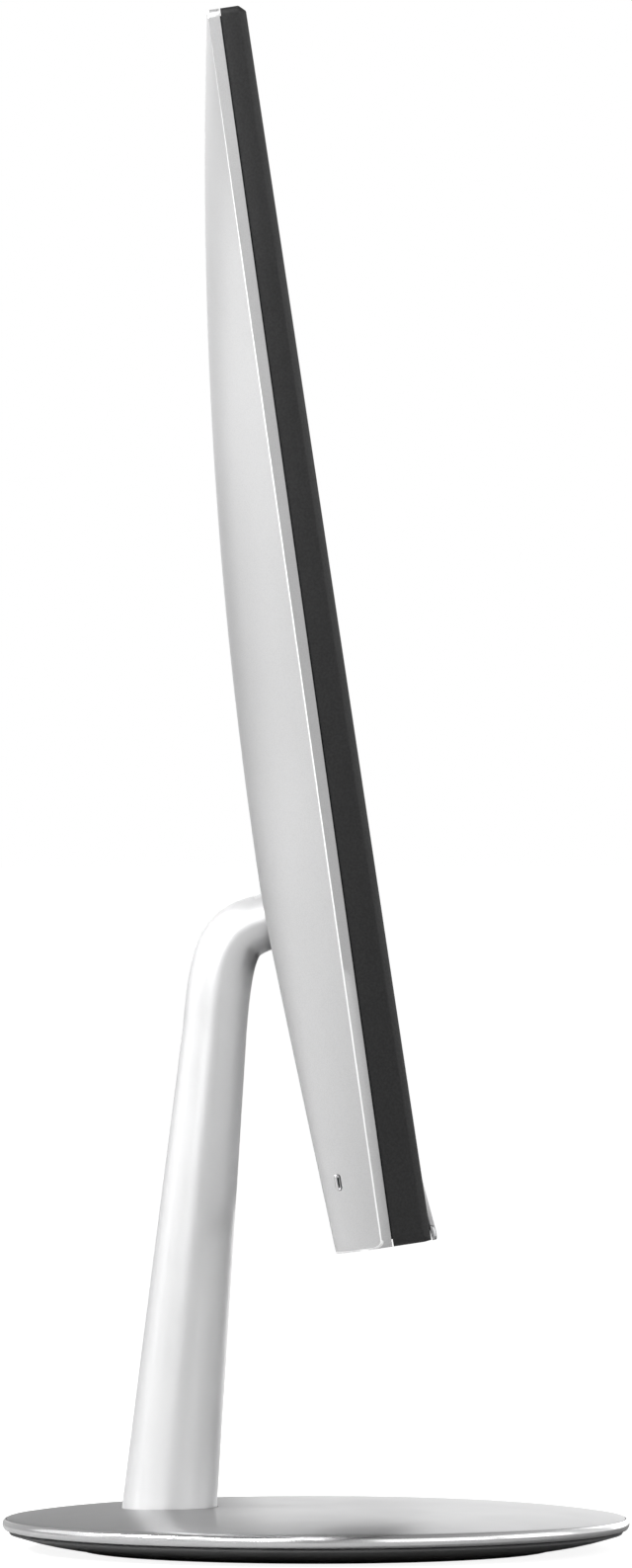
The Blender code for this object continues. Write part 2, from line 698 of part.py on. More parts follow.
def power_control():
    """Button in the underside of the cover and the switch board that it presses."""
    low = (BUTTON_X - 0.0064, BUTTON_DEPTH - 0.0029, -0.0006)
    high = (BUTTON_X + 0.0064, BUTTON_DEPTH + 0.0029, 0.0046)
    cap = soften(box("power_button", low, high, "chrome", HEAD), 0.0008, 2)
    low = (BUTTON_X - 0.0085, BUTTON_DEPTH - 0.0045, 0.0026)
    high = (BUTTON_X + 0.0085, BUTTON_DEPTH + 0.0028, 0.0040)
    join(cap, box("button_flange", low, high, "chrome", HEAD))
    low, high = (BUTTON_X - 0.012, 0.0128, 0.0082), (BUTTON_X + 0.012, 0.0228, 0.0094)
    board = box("power_switch_board", low, high, "board", HEAD)
    join(board, slots("switch", [(BUTTON_X, 0.019, 0.0072)], (0.006, 0.005, 0.0024)))


# ---- Head: rear connectors ----

def socket_box(name, x, middle, size, front, back):
    """A box about (x, middle) of `size`, its width and height, between two depths."""
    wide, tall = size[0] / 2, size[1] / 2
    return box(name, (x - wide, front, middle - tall), (x + wide, back, middle + tall), "steel", HEAD)


def socket(name, x, width, low, high, mouth, tongue):
    """Connector from the board to the rear plate. Its mouth and tongue are (width, height) sizes."""
    middle = (low + high) / 2
    shell = socket_box(name, x, middle, (width, high - low), BOARD_BACK + GAP, SOCKET_END)
    cut(shell, socket_box("mouth", x, middle, mouth, 0.0180, 0.0300))
    if tongue:
        join(shell, socket_box("tongue", x, middle, tongue, 0.0170, 0.0252))


def round_socket(name, x, radius, bore):
    length = SOCKET_END - BOARD_BACK - GAP
    body = rod(name, (x, SOCKET_END - length / 2, ROUND_HEIGHT), radius, length, "depth", "black", HEAD, 24)
    cut(body, rod("bore", (x, 0.0240, ROUND_HEIGHT), bore, 0.0120, "depth", "black", HEAD, 24))
    if name == "power_inlet":
        join(body, rod("pin", (x, 0.0205, ROUND_HEIGHT), 0.0010, 0.0090, "depth", "steel", HEAD, 12))


def rear_connectors():
    margin = 0.003
    plate = box(
        "io_plate",
        (IO_LEFT - margin, IO_PLATE_DEPTH, IO_LOW - margin),
        (IO_RIGHT + margin, IO_PLATE_DEPTH + 0.001, IO_HIGH + margin),
        "black", HEAD,
    )
    for name, x, width, low, high, mouth, tongue in SOCKETS:
        socket(name, x, width, low, high, mouth, tongue)
        size = (width + 2 * GAP, high - low + 2 * GAP)
        cut(plate, socket_box(name + "_window", x, (low + high) / 2, size, 0.02, 0.03))
    for name, x, radius, bore in ROUND_SOCKETS:
        round_socket(name, x, radius, bore)
        centre = (x, IO_PLATE_DEPTH, ROUND_HEIGHT)
        cut(plate, rod(name + "_window", centre, radius + GAP, 0.01, "depth", "black", HEAD, 24))


def inner_cables():
    x, height = CABLE_SLOT
    to_panel = [
        (x, 0.0176, 0.1848), (x, 0.0176, 0.1960), (x, 0.0156, 0.2050), (x, 0.0115, 0.2088),
        (x, 0.0087, height),
    ]
    to_fan = [
        (0.0121, 0.0165, 0.150), (0.000, 0.0180, 0.1475), (-0.025, 0.0180, 0.146), (-0.0511, 0.0172, 0.146),
    ]
    to_drive = [
        (0.1116, 0.0170, 0.072), (0.104, 0.0170, 0.072), (0.090, 0.0170, 0.062), (0.060, 0.0160, 0.050),
        (0.000, 0.0160, 0.048), (-0.030, 0.0170, 0.052), (-0.0511, 0.0174, 0.052),
    ]
    wire("display_cable", to_panel, 0.0015, "black")
    wire("fan_cable", to_fan, 0.0009, "black")
    wire("drive_cable", to_drive, 0.0014, "black")


# ---- Tilt hinge ----

def hinge_bracket():
    """Plate on the chassis with two ears for the shaft."""
    low, high = PIVOT_IN_HEAD.z - 0.032, PIVOT_IN_HEAD.z + 0.028
    front = CHASSIS_DEPTH + CHASSIS_THICKNESS + GAP
    plate_back = front + 0.0028
    bracket = box("hinge_bracket", (-0.044, front, low), (0.044, plate_back, high), "steel", HEAD)
    ear_front, ear_back = plate_back - 0.001, 0.0290
    reach = EAR_INSIDE + EAR_THICKNESS / 2
    ears = [(side * reach, (ear_front + ear_back) / 2, PIVOT_IN_HEAD.z) for side in (-1, 1)]
    join(bracket, slots("ears", ears, (EAR_THICKNESS, ear_back - ear_front, 0.017)))
    cut(bracket, rod("shaft_hole", PIVOT_IN_HEAD, SHAFT_RADIUS + GAP, 0.1, "x", "steel", HEAD, 24))


def hinge_stack():
    """Shaft, washers and nut, which stay with the arm."""
    washer_gap = EAR_INSIDE - KNUCKLE_HALF
    reach = EAR_INSIDE + EAR_THICKNESS + GAP
    shaft = rod("hinge_shaft", PIVOT, SHAFT_RADIUS, 2 * (reach + 0.006), "x", "steel", STAND, 24)
    head = rod("shaft_head", PIVOT - Vector((reach + 0.0045, 0, 0)), 0.0068, 0.003, "x", "steel", STAND, 24)
    join(shaft, head)
    nut = rod("hinge_nut", PIVOT + Vector((reach + 0.0030, 0, 0)), 0.0072, 0.0042, "x", "steel", STAND, 6)
    cut(nut, rod("nut_bore", PIVOT, SHAFT_RADIUS + GAP, 0.1, "x", "steel", STAND, 24))
    for number, side in ((1, -1), (2, 1)):
        centre = PIVOT + Vector((side * (KNUCKLE_HALF + washer_gap / 2), 0, 0))
        thickness = washer_gap - 2 * GAP
        washer = rod(f"friction_washer_{number}", centre, 0.0078, thickness, "x", "copper", STAND, 28)
        cut(washer, rod("washer_bore", PIVOT, SHAFT_RADIUS + GAP, 0.1, "x", "steel", STAND, 24))


def arm_end_direction():
    return (PIVOT - ARM_BEND_END).normalized()


def hinge_knuckle():
    """Barrel round the shaft with the plug that goes into the arm's upper end."""
    length = 2 * KNUCKLE_HALF - 0.0005
    barrel = rod("hinge_knuckle", PIVOT, KNUCKLE_RADIUS, length, "x", "steel", STAND, 28)
    out = -arm_end_direction()
    turn = out.to_track_quat("Z", "Y").to_matrix().to_4x4()
    plug_end = (PIVOT - ARM_BEND_END).length + 0.001
    radius = ARM_END_RADIUS - ARM_WALL - GAP
    plug = rod("plug", PIVOT + out * plug_end / 2, radius, plug_end, turn, "steel", STAND, 24)
    join(barrel, plug)
    cut(barrel, rod("barrel_bore", PIVOT, SHAFT_RADIUS + GAP, 0.1, "x", "steel", STAND, 24))


# ---- Stand ----

def bend(share):
    """Point of the arm's upper bend, for a share from 0 to 1."""
    first, second = ARM_BEND_HANDLES
    rest = 1 - share
    return (
        ARM_BEND_START * rest ** 3 + first * 3 * rest ** 2 * share
        + second * 3 * rest * share ** 2 + ARM_BEND_END * share ** 3
    )


def arm_path(below=0.0, beyond=ARM_INSIDE_HEAD):
    """(points, radii) along the arm, from its foot to inside the head."""
    axis = (ARM_BEND_START - ARM_FOOT).normalized()
    foot = ARM_FOOT - axis * below
    straight_steps, bend_steps = 4, 8
    shares = [i / straight_steps for i in range(straight_steps)]
    points = [foot.lerp(ARM_BEND_START, share) for share in shares]
    radii = [between(ARM_FOOT_RADIUS, ARM_MIDDLE_RADIUS, share) for share in shares]
    for i in range(bend_steps + 1):
        points.append(bend(i / bend_steps))
        radii.append(between(ARM_MIDDLE_RADIUS, ARM_END_RADIUS, (i / bend_steps) ** 2))
    points.append(ARM_BEND_END + arm_end_direction() * beyond)
    radii.append(ARM_END_RADIUS)
    return points, radii


def stand_arm():
    arm = tube("stand_arm", *arm_path(), "satin", STAND, 6)
    points, radii = arm_path(0.01, ARM_INSIDE_HEAD + 0.01)
    bore = tube("arm_bore", points, [radius - ARM_WALL for radius in radii], "satin", STAND, 6)
    cut(arm, bore)
    cut(arm, below_foot("arm_level"))


def below_foot(name):
    """Cutter that levels a piece off at the arm's foot."""
    return box(name, (-0.03, 0.0, -0.02), (0.03, 0.08, ARM_FOOT.z), "satin", STAND)


def arm_axis_turn():
    return (ARM_BEND_START - ARM_FOOT).to_track_quat("Z", "Y").to_matrix().to_4x4()


def screw_places():
    turns = [math.radians(90 + 120 * i) for i in range(3)]
    return [
        Vector((SCREW_CIRCLE * math.cos(a), ARM_FOOT.y + SCREW_CIRCLE * math.sin(a), 0.0)) for a in turns
    ]


def screw_cutter(name, bottom, top):
    """Three clearance holes for the base screws, as one cutter of separate rods."""
    bm = bmesh.new()
    for spot in screw_places():
        placing = Matrix.Translation(spot + Vector((0, 0, (bottom + top) / 2)))
        bmesh.ops.create_cone(
            bm, cap_ends=True, segments=16, radius1=SCREW_RADIUS + GAP, radius2=SCREW_RADIUS + GAP,
            depth=top - bottom, matrix=placing,
        )
    return add(name, bm, (0.0, 0.0, 0.0), "steel", STAND)


def arm_foot():
    """Plug in the arm's lower end that the base screws go into."""
    axis = (ARM_BEND_START - ARM_FOOT).normalized()
    length = 0.026
    bottom, top = ARM_FOOT_RADIUS - ARM_WALL - 0.0007, ARM_FOOT_RADIUS - ARM_WALL - 0.0013
    centre = ARM_FOOT + axis * (length / 2 + 0.0008)
    plug = rod("arm_foot", centre, bottom, length, arm_axis_turn(), "steel", STAND, 28, top)
    cut(plug, below_foot("foot_level"), screw_cutter("foot_holes", 0.0, 0.0225))


def dome_height(radius):
    return RIM_HEIGHT + DOME_RISE * (1 - (radius / BASE_RADIUS) ** DOME_POWER)


def base_plate():
    """Domed round plate with a hole that the arm stands in."""
    rim = BASE_RADIUS - 0.0012
    radii = [rim * math.sqrt(i / 6) for i in range(7)]
    upper = [(radius, dome_height(radius)) for radius in radii]
    lower = [(radius, dome_height(radius) - PLATE_THICKNESS) for radius in reversed(radii)]
    plate = turned("base_plate", upper + lower, (0.0, 0.0, 0.0), "satin", STAND)
    centre = ARM_FOOT + Vector((0, -0.0005, 0.005))
    hole = rod("arm_hole", centre, ARM_FOOT_RADIUS + 0.0002, 0.03, arm_axis_turn(), "satin", STAND, 32)
    cut(plate, hole)


def base_trim_ring():
    """Polished bevelled ring round the plate's edge."""
    inner = BASE_RADIUS - 0.0012 + GAP
    top = dome_height(inner)
    profile = [
        (inner, top - 0.0001), (BASE_RADIUS - 0.0003, 0.0088), (BASE_RADIUS, 0.0078),
        (BASE_RADIUS - 0.0001, 0.0072), (BASE_RADIUS - 0.0006, 0.0062), (inner - 0.0030, 0.0053),
        (inner - 0.0030, 0.0060), (inner, 0.0060),
    ]
    turned("base_trim_ring", profile, (0.0, 0.0, 0.0), "chrome", STAND)


def base_underside():
    """Black tub under the plate, with a groove for the foot ring."""
    floor_bottom, floor_top, groove_top, edge_height = 0.0006, 0.0026, 0.0012, 0.0050
    edge = BASE_RADIUS - 0.0020
    profile = [
        (0.0, floor_top), (TUB_FOOT_RADIUS - 0.002, floor_top), (edge - 0.0040, edge_height),
        (edge, edge_height), (TUB_FOOT_RADIUS, 0.0008), (FOOT_OUTER + GAP, floor_bottom),
        (FOOT_OUTER + GAP, groove_top), (FOOT_INNER - GAP, groove_top), (FOOT_INNER - GAP, floor_bottom),
        (0.0, floor_bottom),
    ]
    tub = turned("base_underside", profile, (0.0, 0.0, 0.0), "black", STAND)
    cut(tub, screw_cutter("tub_holes", -0.01, 0.02))


def foot_ring():
    low, high = 0.0, 0.0009
    profile = [(FOOT_OUTER, high), (FOOT_OUTER, low), (FOOT_INNER, low), (FOOT_INNER, high)]
    turned("foot_ring", profile, (0.0, 0.0, 0.0), "rubber", STAND)


def base_weight():
    centre = (0.0, 0.0, (WEIGHT_BOTTOM + WEIGHT_TOP) / 2)
    weight = rod("base_weight", centre, WEIGHT_RADIUS, WEIGHT_TOP - WEIGHT_BOTTOM, "up", "steel", STAND, 48)
    cut(weight, screw_cutter("weight_holes", -0.01, 0.02))


def base_screws():
    """Countersunk screws from the weight's pockets up into the arm's foot."""
    for number, spot in enumerate(screw_places(), 1):
        bottom, top = 0.0008, 0.0215
        centre = spot + Vector((0, 0, (bottom + top) / 2))
        screw = rod(f"base_screw_{number}", centre, SCREW_RADIUS, top - bottom, "up", "steel", STAND, 16)
        socket_hole = rod("drive", spot + Vector((0, 0, bottom)), 0.0009, 0.003, "up", "steel", STAND, 6)
        cut(screw, socket_hole)


def build():
    rear_cover()
    front_bezel()
    chin_trim()
    arm_opening_trim()
    lock_slot_insert()
    display()
    chassis_plate()
    webcam()
    mainboard()
    processor()
    cooler()
    fan_housing()
    fan_rotor()
    memory()
    storage_and_radio()
    hard_drive()
    speakers()
    antennas()
    power_control()
    rear_connectors()
    inner_cables()
    hinge_bracket()
    hinge_stack()
    hinge_knuckle()
    stand_arm()
    arm_foot()
    base_plate()
    base_trim_ring()
    base_underside()
    foot_ring()
    base_weight()
    base_screws()


build()
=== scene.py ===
"""Looks of the all-in-one computer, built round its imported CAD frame. Metres; the screen faces -Y.

Head pieces are made in the head's own coordinates (x, depth behind the front face, height above the
face's bottom edge) and placed with HEAD. Stand pieces are made in the row frame.
"""

import json
import math

import bmesh
import bpy
from mathutils import Matrix, Vector


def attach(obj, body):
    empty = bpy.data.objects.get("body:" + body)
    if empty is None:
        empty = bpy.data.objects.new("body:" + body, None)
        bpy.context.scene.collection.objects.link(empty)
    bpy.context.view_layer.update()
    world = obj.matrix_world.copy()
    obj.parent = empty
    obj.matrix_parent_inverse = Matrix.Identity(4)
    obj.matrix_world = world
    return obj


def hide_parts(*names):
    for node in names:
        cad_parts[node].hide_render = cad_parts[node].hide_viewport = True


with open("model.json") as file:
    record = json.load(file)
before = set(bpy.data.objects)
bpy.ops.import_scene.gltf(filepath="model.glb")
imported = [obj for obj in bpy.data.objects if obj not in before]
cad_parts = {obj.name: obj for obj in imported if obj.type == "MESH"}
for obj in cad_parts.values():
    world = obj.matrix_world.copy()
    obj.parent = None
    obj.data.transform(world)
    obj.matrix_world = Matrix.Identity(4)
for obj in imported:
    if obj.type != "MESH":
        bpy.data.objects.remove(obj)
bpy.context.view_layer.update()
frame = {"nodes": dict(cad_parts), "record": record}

# Head: the same outline, tilt and thickness as the CAD part
HEAD_WIDTH, HEAD_HEIGHT = 0.541, 0.351
HALF_WIDTH = HEAD_WIDTH / 2
REST_TILT = math.radians(8.58)
BAND_AT_TOP, BAND_AT_BOTTOM = 0.0072, 0.0108
LIP_AT_TOP, LIP_AT_BOTTOM = 0.0036, 0.0030
THICKEST, THICKEST_DROP, TOP_THICKNESS, BACK_CURVE, LOWER_TAPER = 0.0330, 0.245, 0.0111, 2.05, 0.0624
WIDE_FLANK, NARROW_FLANK = 0.038, 0.014
CORNER = 0.0020                 # radius of the head's four corners
WALL = 0.0020
SEAM = 0.0003

VIEW_WIDTH, VIEW_HEIGHT, TOP_BORDER = 0.527, 0.2965, 0.010
PANEL_WIDTH, PANEL_BOTTOM, PANEL_TOP = 0.5358, 0.0400, 0.3440
PANEL_FRONT, PANEL_BACK = 0.0018, 0.0032

IO_LOW_CORNER, IO_HIGH_CORNER = (-0.222, 0.0440), (-0.072, 0.0660)
BUTTON_X, BUTTON_DEPTH = 0.228, 0.0200
WEBCAM_HEIGHT = 0.3464
PORT_HEIGHT, PORT_BACK = 0.0537, 0.0266         # middle and mouth of the rear connectors
LOCK_DEPTH, LOCK_HEIGHT = 0.0235, 0.0199
SPEAKER_X, FAN_X = 0.160, 0.050

# Tilt axis and arm, as in the CAD part
PIVOT = Vector((0.0, 0.003, 0.1955))
PIVOT_IN_HEAD = Vector((0.0, 0.0213, 0.0964))
OPENING_HALF, OPENING_LOW, OPENING_HIGH = 0.0120, 0.0764, 0.1084
ARM_FOOT = Vector((0.0, 0.0447, 0.0092))
ARM_BEND_START = Vector((0.0, 0.0307, 0.1570))
ARM_BEND_HANDLES = (Vector((0.0, 0.0286, 0.1842)), Vector((0.0, 0.0255, 0.1868)))
ARM_BEND_END = Vector((0.0, 0.0155, 0.1897))
ARM_FOOT_RADIUS, ARM_MIDDLE_RADIUS, ARM_END_RADIUS, ARM_WALL = 0.0144, 0.0097, 0.0085, 0.0021
ARM_INSIDE_HEAD = 0.0045

# Base
BASE_RADIUS, RIM_HEIGHT, DOME_RISE, DOME_POWER = 0.095, 0.0093, 0.0035, 4.75
PLATE_RADIUS, PLATE_THICKNESS = 0.0938, 0.0015

HEAD = Matrix.Translation(PIVOT) @ Matrix.Rotation(-REST_TILT, 4, "X") @ Matrix.Translation(-PIVOT_IN_HEAD)
ROW = Matrix.Identity(4)


# ---- Material nodes ----

class Nodes:
    """Short calls for building one material's node tree."""

    def __init__(self, name):
        self.material = bpy.data.materials.new(name)
        self.material.use_nodes = True
        self.tree = self.material.node_tree
        self.shader = self.tree.nodes["Principled BSDF"]
        self.place = self.tree.nodes.new("ShaderNodeTexCoord").outputs["Object"]

    def node(self, kind, **values):
        node = self.tree.nodes.new(kind)
        for key, value in values.items():
            setattr(node, key, value)
        return node

    def link(self, output, socket):
        self.tree.links.new(output, socket)

    def stretched(self, scale):
        mapping = self.node("ShaderNodeMapping")
        mapping.inputs["Scale"].default_value = scale
        self.link(self.place, mapping.inputs["Vector"])
        return mapping.outputs["Vector"]

    def noise(self, scale, detail=2.0, roughness=0.5, place=None):
        node = self.node("ShaderNodeTexNoise")
        node.inputs["Scale"].default_value = scale
        node.inputs["Detail"].default_value = detail
        node.inputs["Roughness"].default_value = roughness
        self.link(place or self.place, node.inputs["Vector"])
        return node.outputs["Fac"]

    def cells(self, scale):
        node = self.node("ShaderNodeTexVoronoi")
        node.inputs["Scale"].default_value = scale
        self.link(self.place, node.inputs["Vector"])
        return node.outputs["Distance"]

    def ramp(self, value, low, high, to_low, to_high):
        node = self.node("ShaderNodeMapRange")
        node.inputs["From Min"].default_value = low
        node.inputs["From Max"].default_value = high
        node.inputs["To Min"].default_value = to_low
        node.inputs["To Max"].default_value = to_high
        self.link(value, node.inputs["Value"])
        return node.outputs["Result"]

    def mix(self, share, first, second):
        node = self.node("ShaderNodeMix", data_type="RGBA")
        node.inputs["A"].default_value = (*first, 1.0)
        node.inputs["B"].default_value = (*second, 1.0)
        self.link(share, node.inputs["Factor"])
        self.link(node.outputs["Result"], self.shader.inputs["Base Color"])

    def bump(self, heights, strength, distance):
        """Bumps from several height outputs added together."""
        total = heights[0]
        for height in heights[1:]:
            node = self.node("ShaderNodeMath", operation="ADD")
            self.link(total, node.inputs[0])
            self.link(height, node.inputs[1])
            total = node.outputs["Value"]
        node = self.node("ShaderNodeBump")
        node.inputs["Strength"].default_value = strength
        node.inputs["Distance"].default_value = distance
        self.link(total, node.inputs["Height"])
        self.link(node.outputs["Normal"], self.shader.inputs["Normal"])

    def set(self, **values):
        for key, value in values.items():
            self.shader.inputs[key.replace("_", " ")].default_value = value


def tinted(colour, amount):
    return tuple(channel * (1 + amount) for channel in colour)


def surface(name, colour, metallic, roughness, grain=None, wear=0.04, smudge=9.0, **settings):
    """A finish with slow colour and gloss changes, and with a fine grain of (scale, strength, distance)."""
    nodes = Nodes(name)
    nodes.set(Metallic=metallic, **settings)
    slow = nodes.noise(smudge, 4.0, 0.6)
    nodes.mix(nodes.ramp(slow, 0.3, 0.7, 0.0, 1.0), tinted(colour, -wear), tinted(colour, wear))
    gloss = nodes.ramp(nodes.noise(smudge * 6, 5.0, 0.65), 0.3, 0.7, roughness * 0.92, roughness * 1.08)
    nodes.link(gloss, nodes.shader.inputs["Roughness"])
    if grain:
        scale, strength, distance = grain
        fine = nodes.noise(scale, 3.0, 0.6)
        nodes.bump([fine, nodes.cells(scale * 0.7)], strength, distance)
    return nodes.material


def brushed(name, colour, roughness, along, metallic=1.0):
    """Metal with drawn lines; `along` is the axis they run on."""
    nodes = Nodes(name)
    nodes.set(Metallic=metallic)
    scale = [900.0, 900.0, 900.0]
    scale["xyz".index(along)] = 9.0
    lines = nodes.noise(1.0, 5.0, 0.7, nodes.stretched(scale))
    nodes.mix(nodes.ramp(lines, 0.3, 0.7, 0.0, 1.0), tinted(colour, -0.07), tinted(colour, 0.07))
    gloss = nodes.ramp(lines, 0.3, 0.7, roughness * 0.8, roughness * 1.25)
    nodes.link(gloss, nodes.shader.inputs["Roughness"])
    nodes.bump([lines], 0.12, 0.00005)
    return nodes.material


def silver_paint():
    """Satin silver lacquer with fine metallic flake."""
    nodes = Nodes("silver_paint")
    nodes.set(Metallic=0.80)
    flake = nodes.cells(2600.0)
    nodes.mix(nodes.ramp(flake, 0.1, 0.8, 0.0, 1.0), (0.640, 0.640, 0.643), (0.592, 0.592, 0.595))
    cloud = nodes.noise(14.0, 4.0, 0.6)
    nodes.link(nodes.ramp(cloud, 0.3, 0.7, 0.36, 0.40), nodes.shader.inputs["Roughness"])
    nodes.bump([flake, nodes.noise(900.0, 3.0, 0.6)], 0.05, 0.00006)
    return nodes.material


def black_grain():
    """Spark-eroded black plastic."""
    nodes = Nodes("black_grained_plastic")
    nodes.set(Specular_IOR_Level=0.38)
    coarse = nodes.noise(1500.0, 3.0, 0.6)
    nodes.mix(nodes.ramp(coarse, 0.35, 0.65, 0.0, 1.0), (0.010, 0.010, 0.0104), (0.018, 0.018, 0.0184))
    gloss = nodes.ramp(nodes.noise(60.0, 4.0, 0.6), 0.3, 0.7, 0.44, 0.52)
    nodes.link(gloss, nodes.shader.inputs["Roughness"])
    nodes.bump([coarse, nodes.cells(1300.0)], 0.35, 0.00010)
    return nodes.material


def screen_glass():
    """Dark anti-glare panel: a faint sparkle over a near-black layer."""
    nodes = Nodes("screen_glass")
    nodes.set(Specular_IOR_Level=0.3, Coat_Weight=0.12, Coat_Roughness=0.20)
    sparkle = nodes.noise(2500.0, 2.0, 0.5)
    nodes.mix(nodes.ramp(sparkle, 0.3, 0.7, 0.0, 1.0), (0.0045, 0.0048, 0.0055), (0.0075, 0.0080, 0.0090))
    nodes.link(nodes.ramp(nodes.noise(5.0, 3.0, 0.5), 0.3, 0.7, 0.34, 0.40), nodes.shader.inputs["Roughness"])
    nodes.bump([sparkle], 0.08, 0.00003)
    return nodes.material


def circuit_board():
    """Green solder mask over tracks, with paler rows of pads."""
    nodes = Nodes("circuit_board")
    nodes.set(Coat_Weight=0.3, Coat_Roughness=0.2)
    tracks = nodes.cells(240.0)
    nodes.mix(nodes.ramp(tracks, 0.30, 0.36, 0.0, 1.0), (0.014, 0.085, 0.045), (0.022, 0.150, 0.080))
    nodes.link(nodes.ramp(tracks, 0.2, 0.5, 0.35, 0.55), nodes.shader.inputs["Roughness"])
    nodes.bump([tracks], 0.2, 0.00005)
    return nodes.material


MATERIALS = {
    "silver": silver_paint(),
    "black": black_grain(),
    "black_smooth": surface(
        "black_satin_plastic", (0.022, 0.022, 0.023), 0.0, 0.38, (900.0, 0.06, 0.00005), 0.1,
    ),
    "glass": screen_glass(),
    "lens": surface(
        "lens_glass", (0.012, 0.013, 0.020), 0.0, 0.05, None, 0.1, 300.0,
        Coat_Weight=1.0, Coat_Roughness=0.03,
    ),
    "satin": surface("satin_silver_metal", (0.70, 0.70, 0.704), 0.60, 0.34, (2200.0, 0.03, 0.00004), 0.012),
    "plate": surface(
        "polished_plate", (0.60, 0.60, 0.605), 1.0, 0.30, (700.0, 0.015, 0.00003), 0.02,
        Specular_Tint=(0.45, 0.45, 0.45, 1.0),
    ),
    "strip": surface(
        "polished_strip", (0.50, 0.50, 0.505), 1.0, 0.30, (600.0, 0.01, 0.00002), 0.02,
        Specular_Tint=(0.22, 0.22, 0.22, 1.0),
    ),
    # black plastic, its colour lifted to dark grey as painted fill light standing in for light thrown up from
    # the table
    "tub": surface("black_tub_painted_fill_light", (0.110, 0.110, 0.111), 0.0, 0.55, (1400.0, 0.15, 0.00008), 0.1),
    # painted highlight: a near-white finish, brighter than the silver paint, for the cover's rounded crease,
    # standing in for the light that edge catches
    "edge": surface("crease_painted_highlight", (0.93, 0.93, 0.93), 0.4, 0.34, (900.0, 0.02, 0.00002), 0.02),
    "rim": surface("polished_rim", (0.78, 0.78, 0.785), 1.0, 0.20, (600.0, 0.01, 0.00002), 0.02),
    "chrome": surface("bright_chrome", (0.84, 0.85, 0.86), 1.0, 0.07, (600.0, 0.01, 0.00002), 0.02),
    "steel": brushed("zinc_steel", (0.52, 0.52, 0.53), 0.34, "x"),
    "alloy": surface("cast_alloy", (0.50, 0.50, 0.51), 1.0, 0.45, (1200.0, 0.2, 0.00008), 0.08),
    "iron": surface("cast_iron", (0.10, 0.10, 0.105), 0.8, 0.6, (800.0, 0.5, 0.0002), 0.2),
    "copper": surface("bare_copper", (0.74, 0.38, 0.22), 1.0, 0.28, (900.0, 0.08, 0.00004), 0.12),
    "gold": surface("gold_contacts", (0.86, 0.60, 0.22), 1.0, 0.22, None, 0.06, 200.0),
    "board": circuit_board(),
    "cable": surface("cable_sheath", (0.022, 0.022, 0.022), 0.0, 0.6, (1500.0, 0.15, 0.00005), 0.1),
    "rubber": surface("foot_rubber", (0.018, 0.018, 0.018), 0.0, 0.85, (1800.0, 0.3, 0.00010), 0.15),
}

# The record's material slots and the finish that each one gets here
SLOT_FINISH = {
    "bezel_black": "black", "screen": "glass", "silver_cover": "silver", "satin_metal": "satin",
    "bright_metal": "chrome", "steel": "steel", "light_metal": "alloy", "copper": "copper",
    "circuit_board": "board", "black_plastic": "black_smooth", "lens": "lens", "cable_black": "cable",
    "rubber": "rubber", "iron": "iron",
}


def finish_cad_nodes():
    """Gives every CAD node that stays the finish of its slot."""
    for part in frame["record"]["subparts"]:
        mesh = frame["nodes"][part["node"]].data
        mesh.materials.clear()
        mesh.materials.append(MATERIALS[SLOT_FINISH[part["material_slot"]]])


# ---- Mesh building ----

SMOOTH_ANGLE = 35.0             # degrees between faces up to which shading runs on


def piece(name, bm, finishes, body, place=ROW, replaces=(), angle=SMOOTH_ANGLE):
    """A finished object from bm that rides on a body and stands for the CAD nodes in `replaces`."""
    mesh = bpy.data.meshes.new(name)
    bm.transform(place)
    bmesh.ops.recalc_face_normals(bm, faces=bm.faces)
    bm.to_mesh(mesh)
    bm.free()
    for finish in finishes:
        mesh.materials.append(MATERIALS[finish])
    mesh.shade_smooth()
    mesh.set_sharp_from_angle(angle=math.radians(angle))
    obj = bpy.data.objects.new(name, mesh)
    bpy.context.scene.collection.objects.link(obj)
    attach(obj, body)
    if replaces:
        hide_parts(*replaces)
    return obj


def loft(bm, loops, ring=False, caps=True, finish=0):
    """Skin over closed loops of equally many points. `ring` joins the last loop to the first."""
    rows = [[bm.verts.new(point) for point in loop] for loop in loops]
    pairs = list(zip(rows, rows[1:]))
    if ring:
        pairs.append((rows[-1], rows[0]))
    count = len(rows[0])
    faces = []
    for first, second in pairs:
        for i in range(count):
            j = (i + 1) % count
            faces.append(bm.faces.new((first[i], first[j], second[j], second[i])))
    if caps and not ring:
        faces += [bm.faces.new(rows[0][::-1]), bm.faces.new(rows[-1])]
    for face in faces:
        face.material_index = finish


def revolve(profile, segments, ring=False):
    """bm turned about Z from (radius, height) points; a radius of 0 closes it at the axis."""
    bm = bmesh.new()
    add_revolved(bm, profile, segments, ring=ring)
    return bm


def add_revolved(bm, profile, segments, centre=(0.0, 0.0, 0.0), ring=False, turn=None, finish=0):
    placing = Matrix.Translation(centre) @ (turn or ROW)
    angles = [2 * math.pi * i / segments for i in range(segments)]
    loops, poles = [], []
    for radius, height in profile:
        if radius > 0.0:
            circle = [(radius * math.cos(a), radius * math.sin(a), height) for a in angles]
            loops.append([placing @ Vector(point) for point in circle])
        else:
            poles.append((len(loops) > 0, placing @ Vector((0.0, 0.0, height))))
    loft(bm, loops, ring, not ring and not poles, finish)
    bm.verts.ensure_lookup_table()
    total = len(loops) * segments
    start = len(bm.verts) - total
    for at_end, pole in poles:
        first = start + (total - segments if at_end else 0)
        rim = [bm.verts[first + i] for i in range(segments)]
        tip = bm.verts.new(pole)
        for i in range(segments):
            corners = (rim[i], rim[(i + 1) % segments], tip)
            face = bm.faces.new(corners if at_end else corners[::-1])
            face.material_index = finish
        bm.verts.ensure_lookup_table()


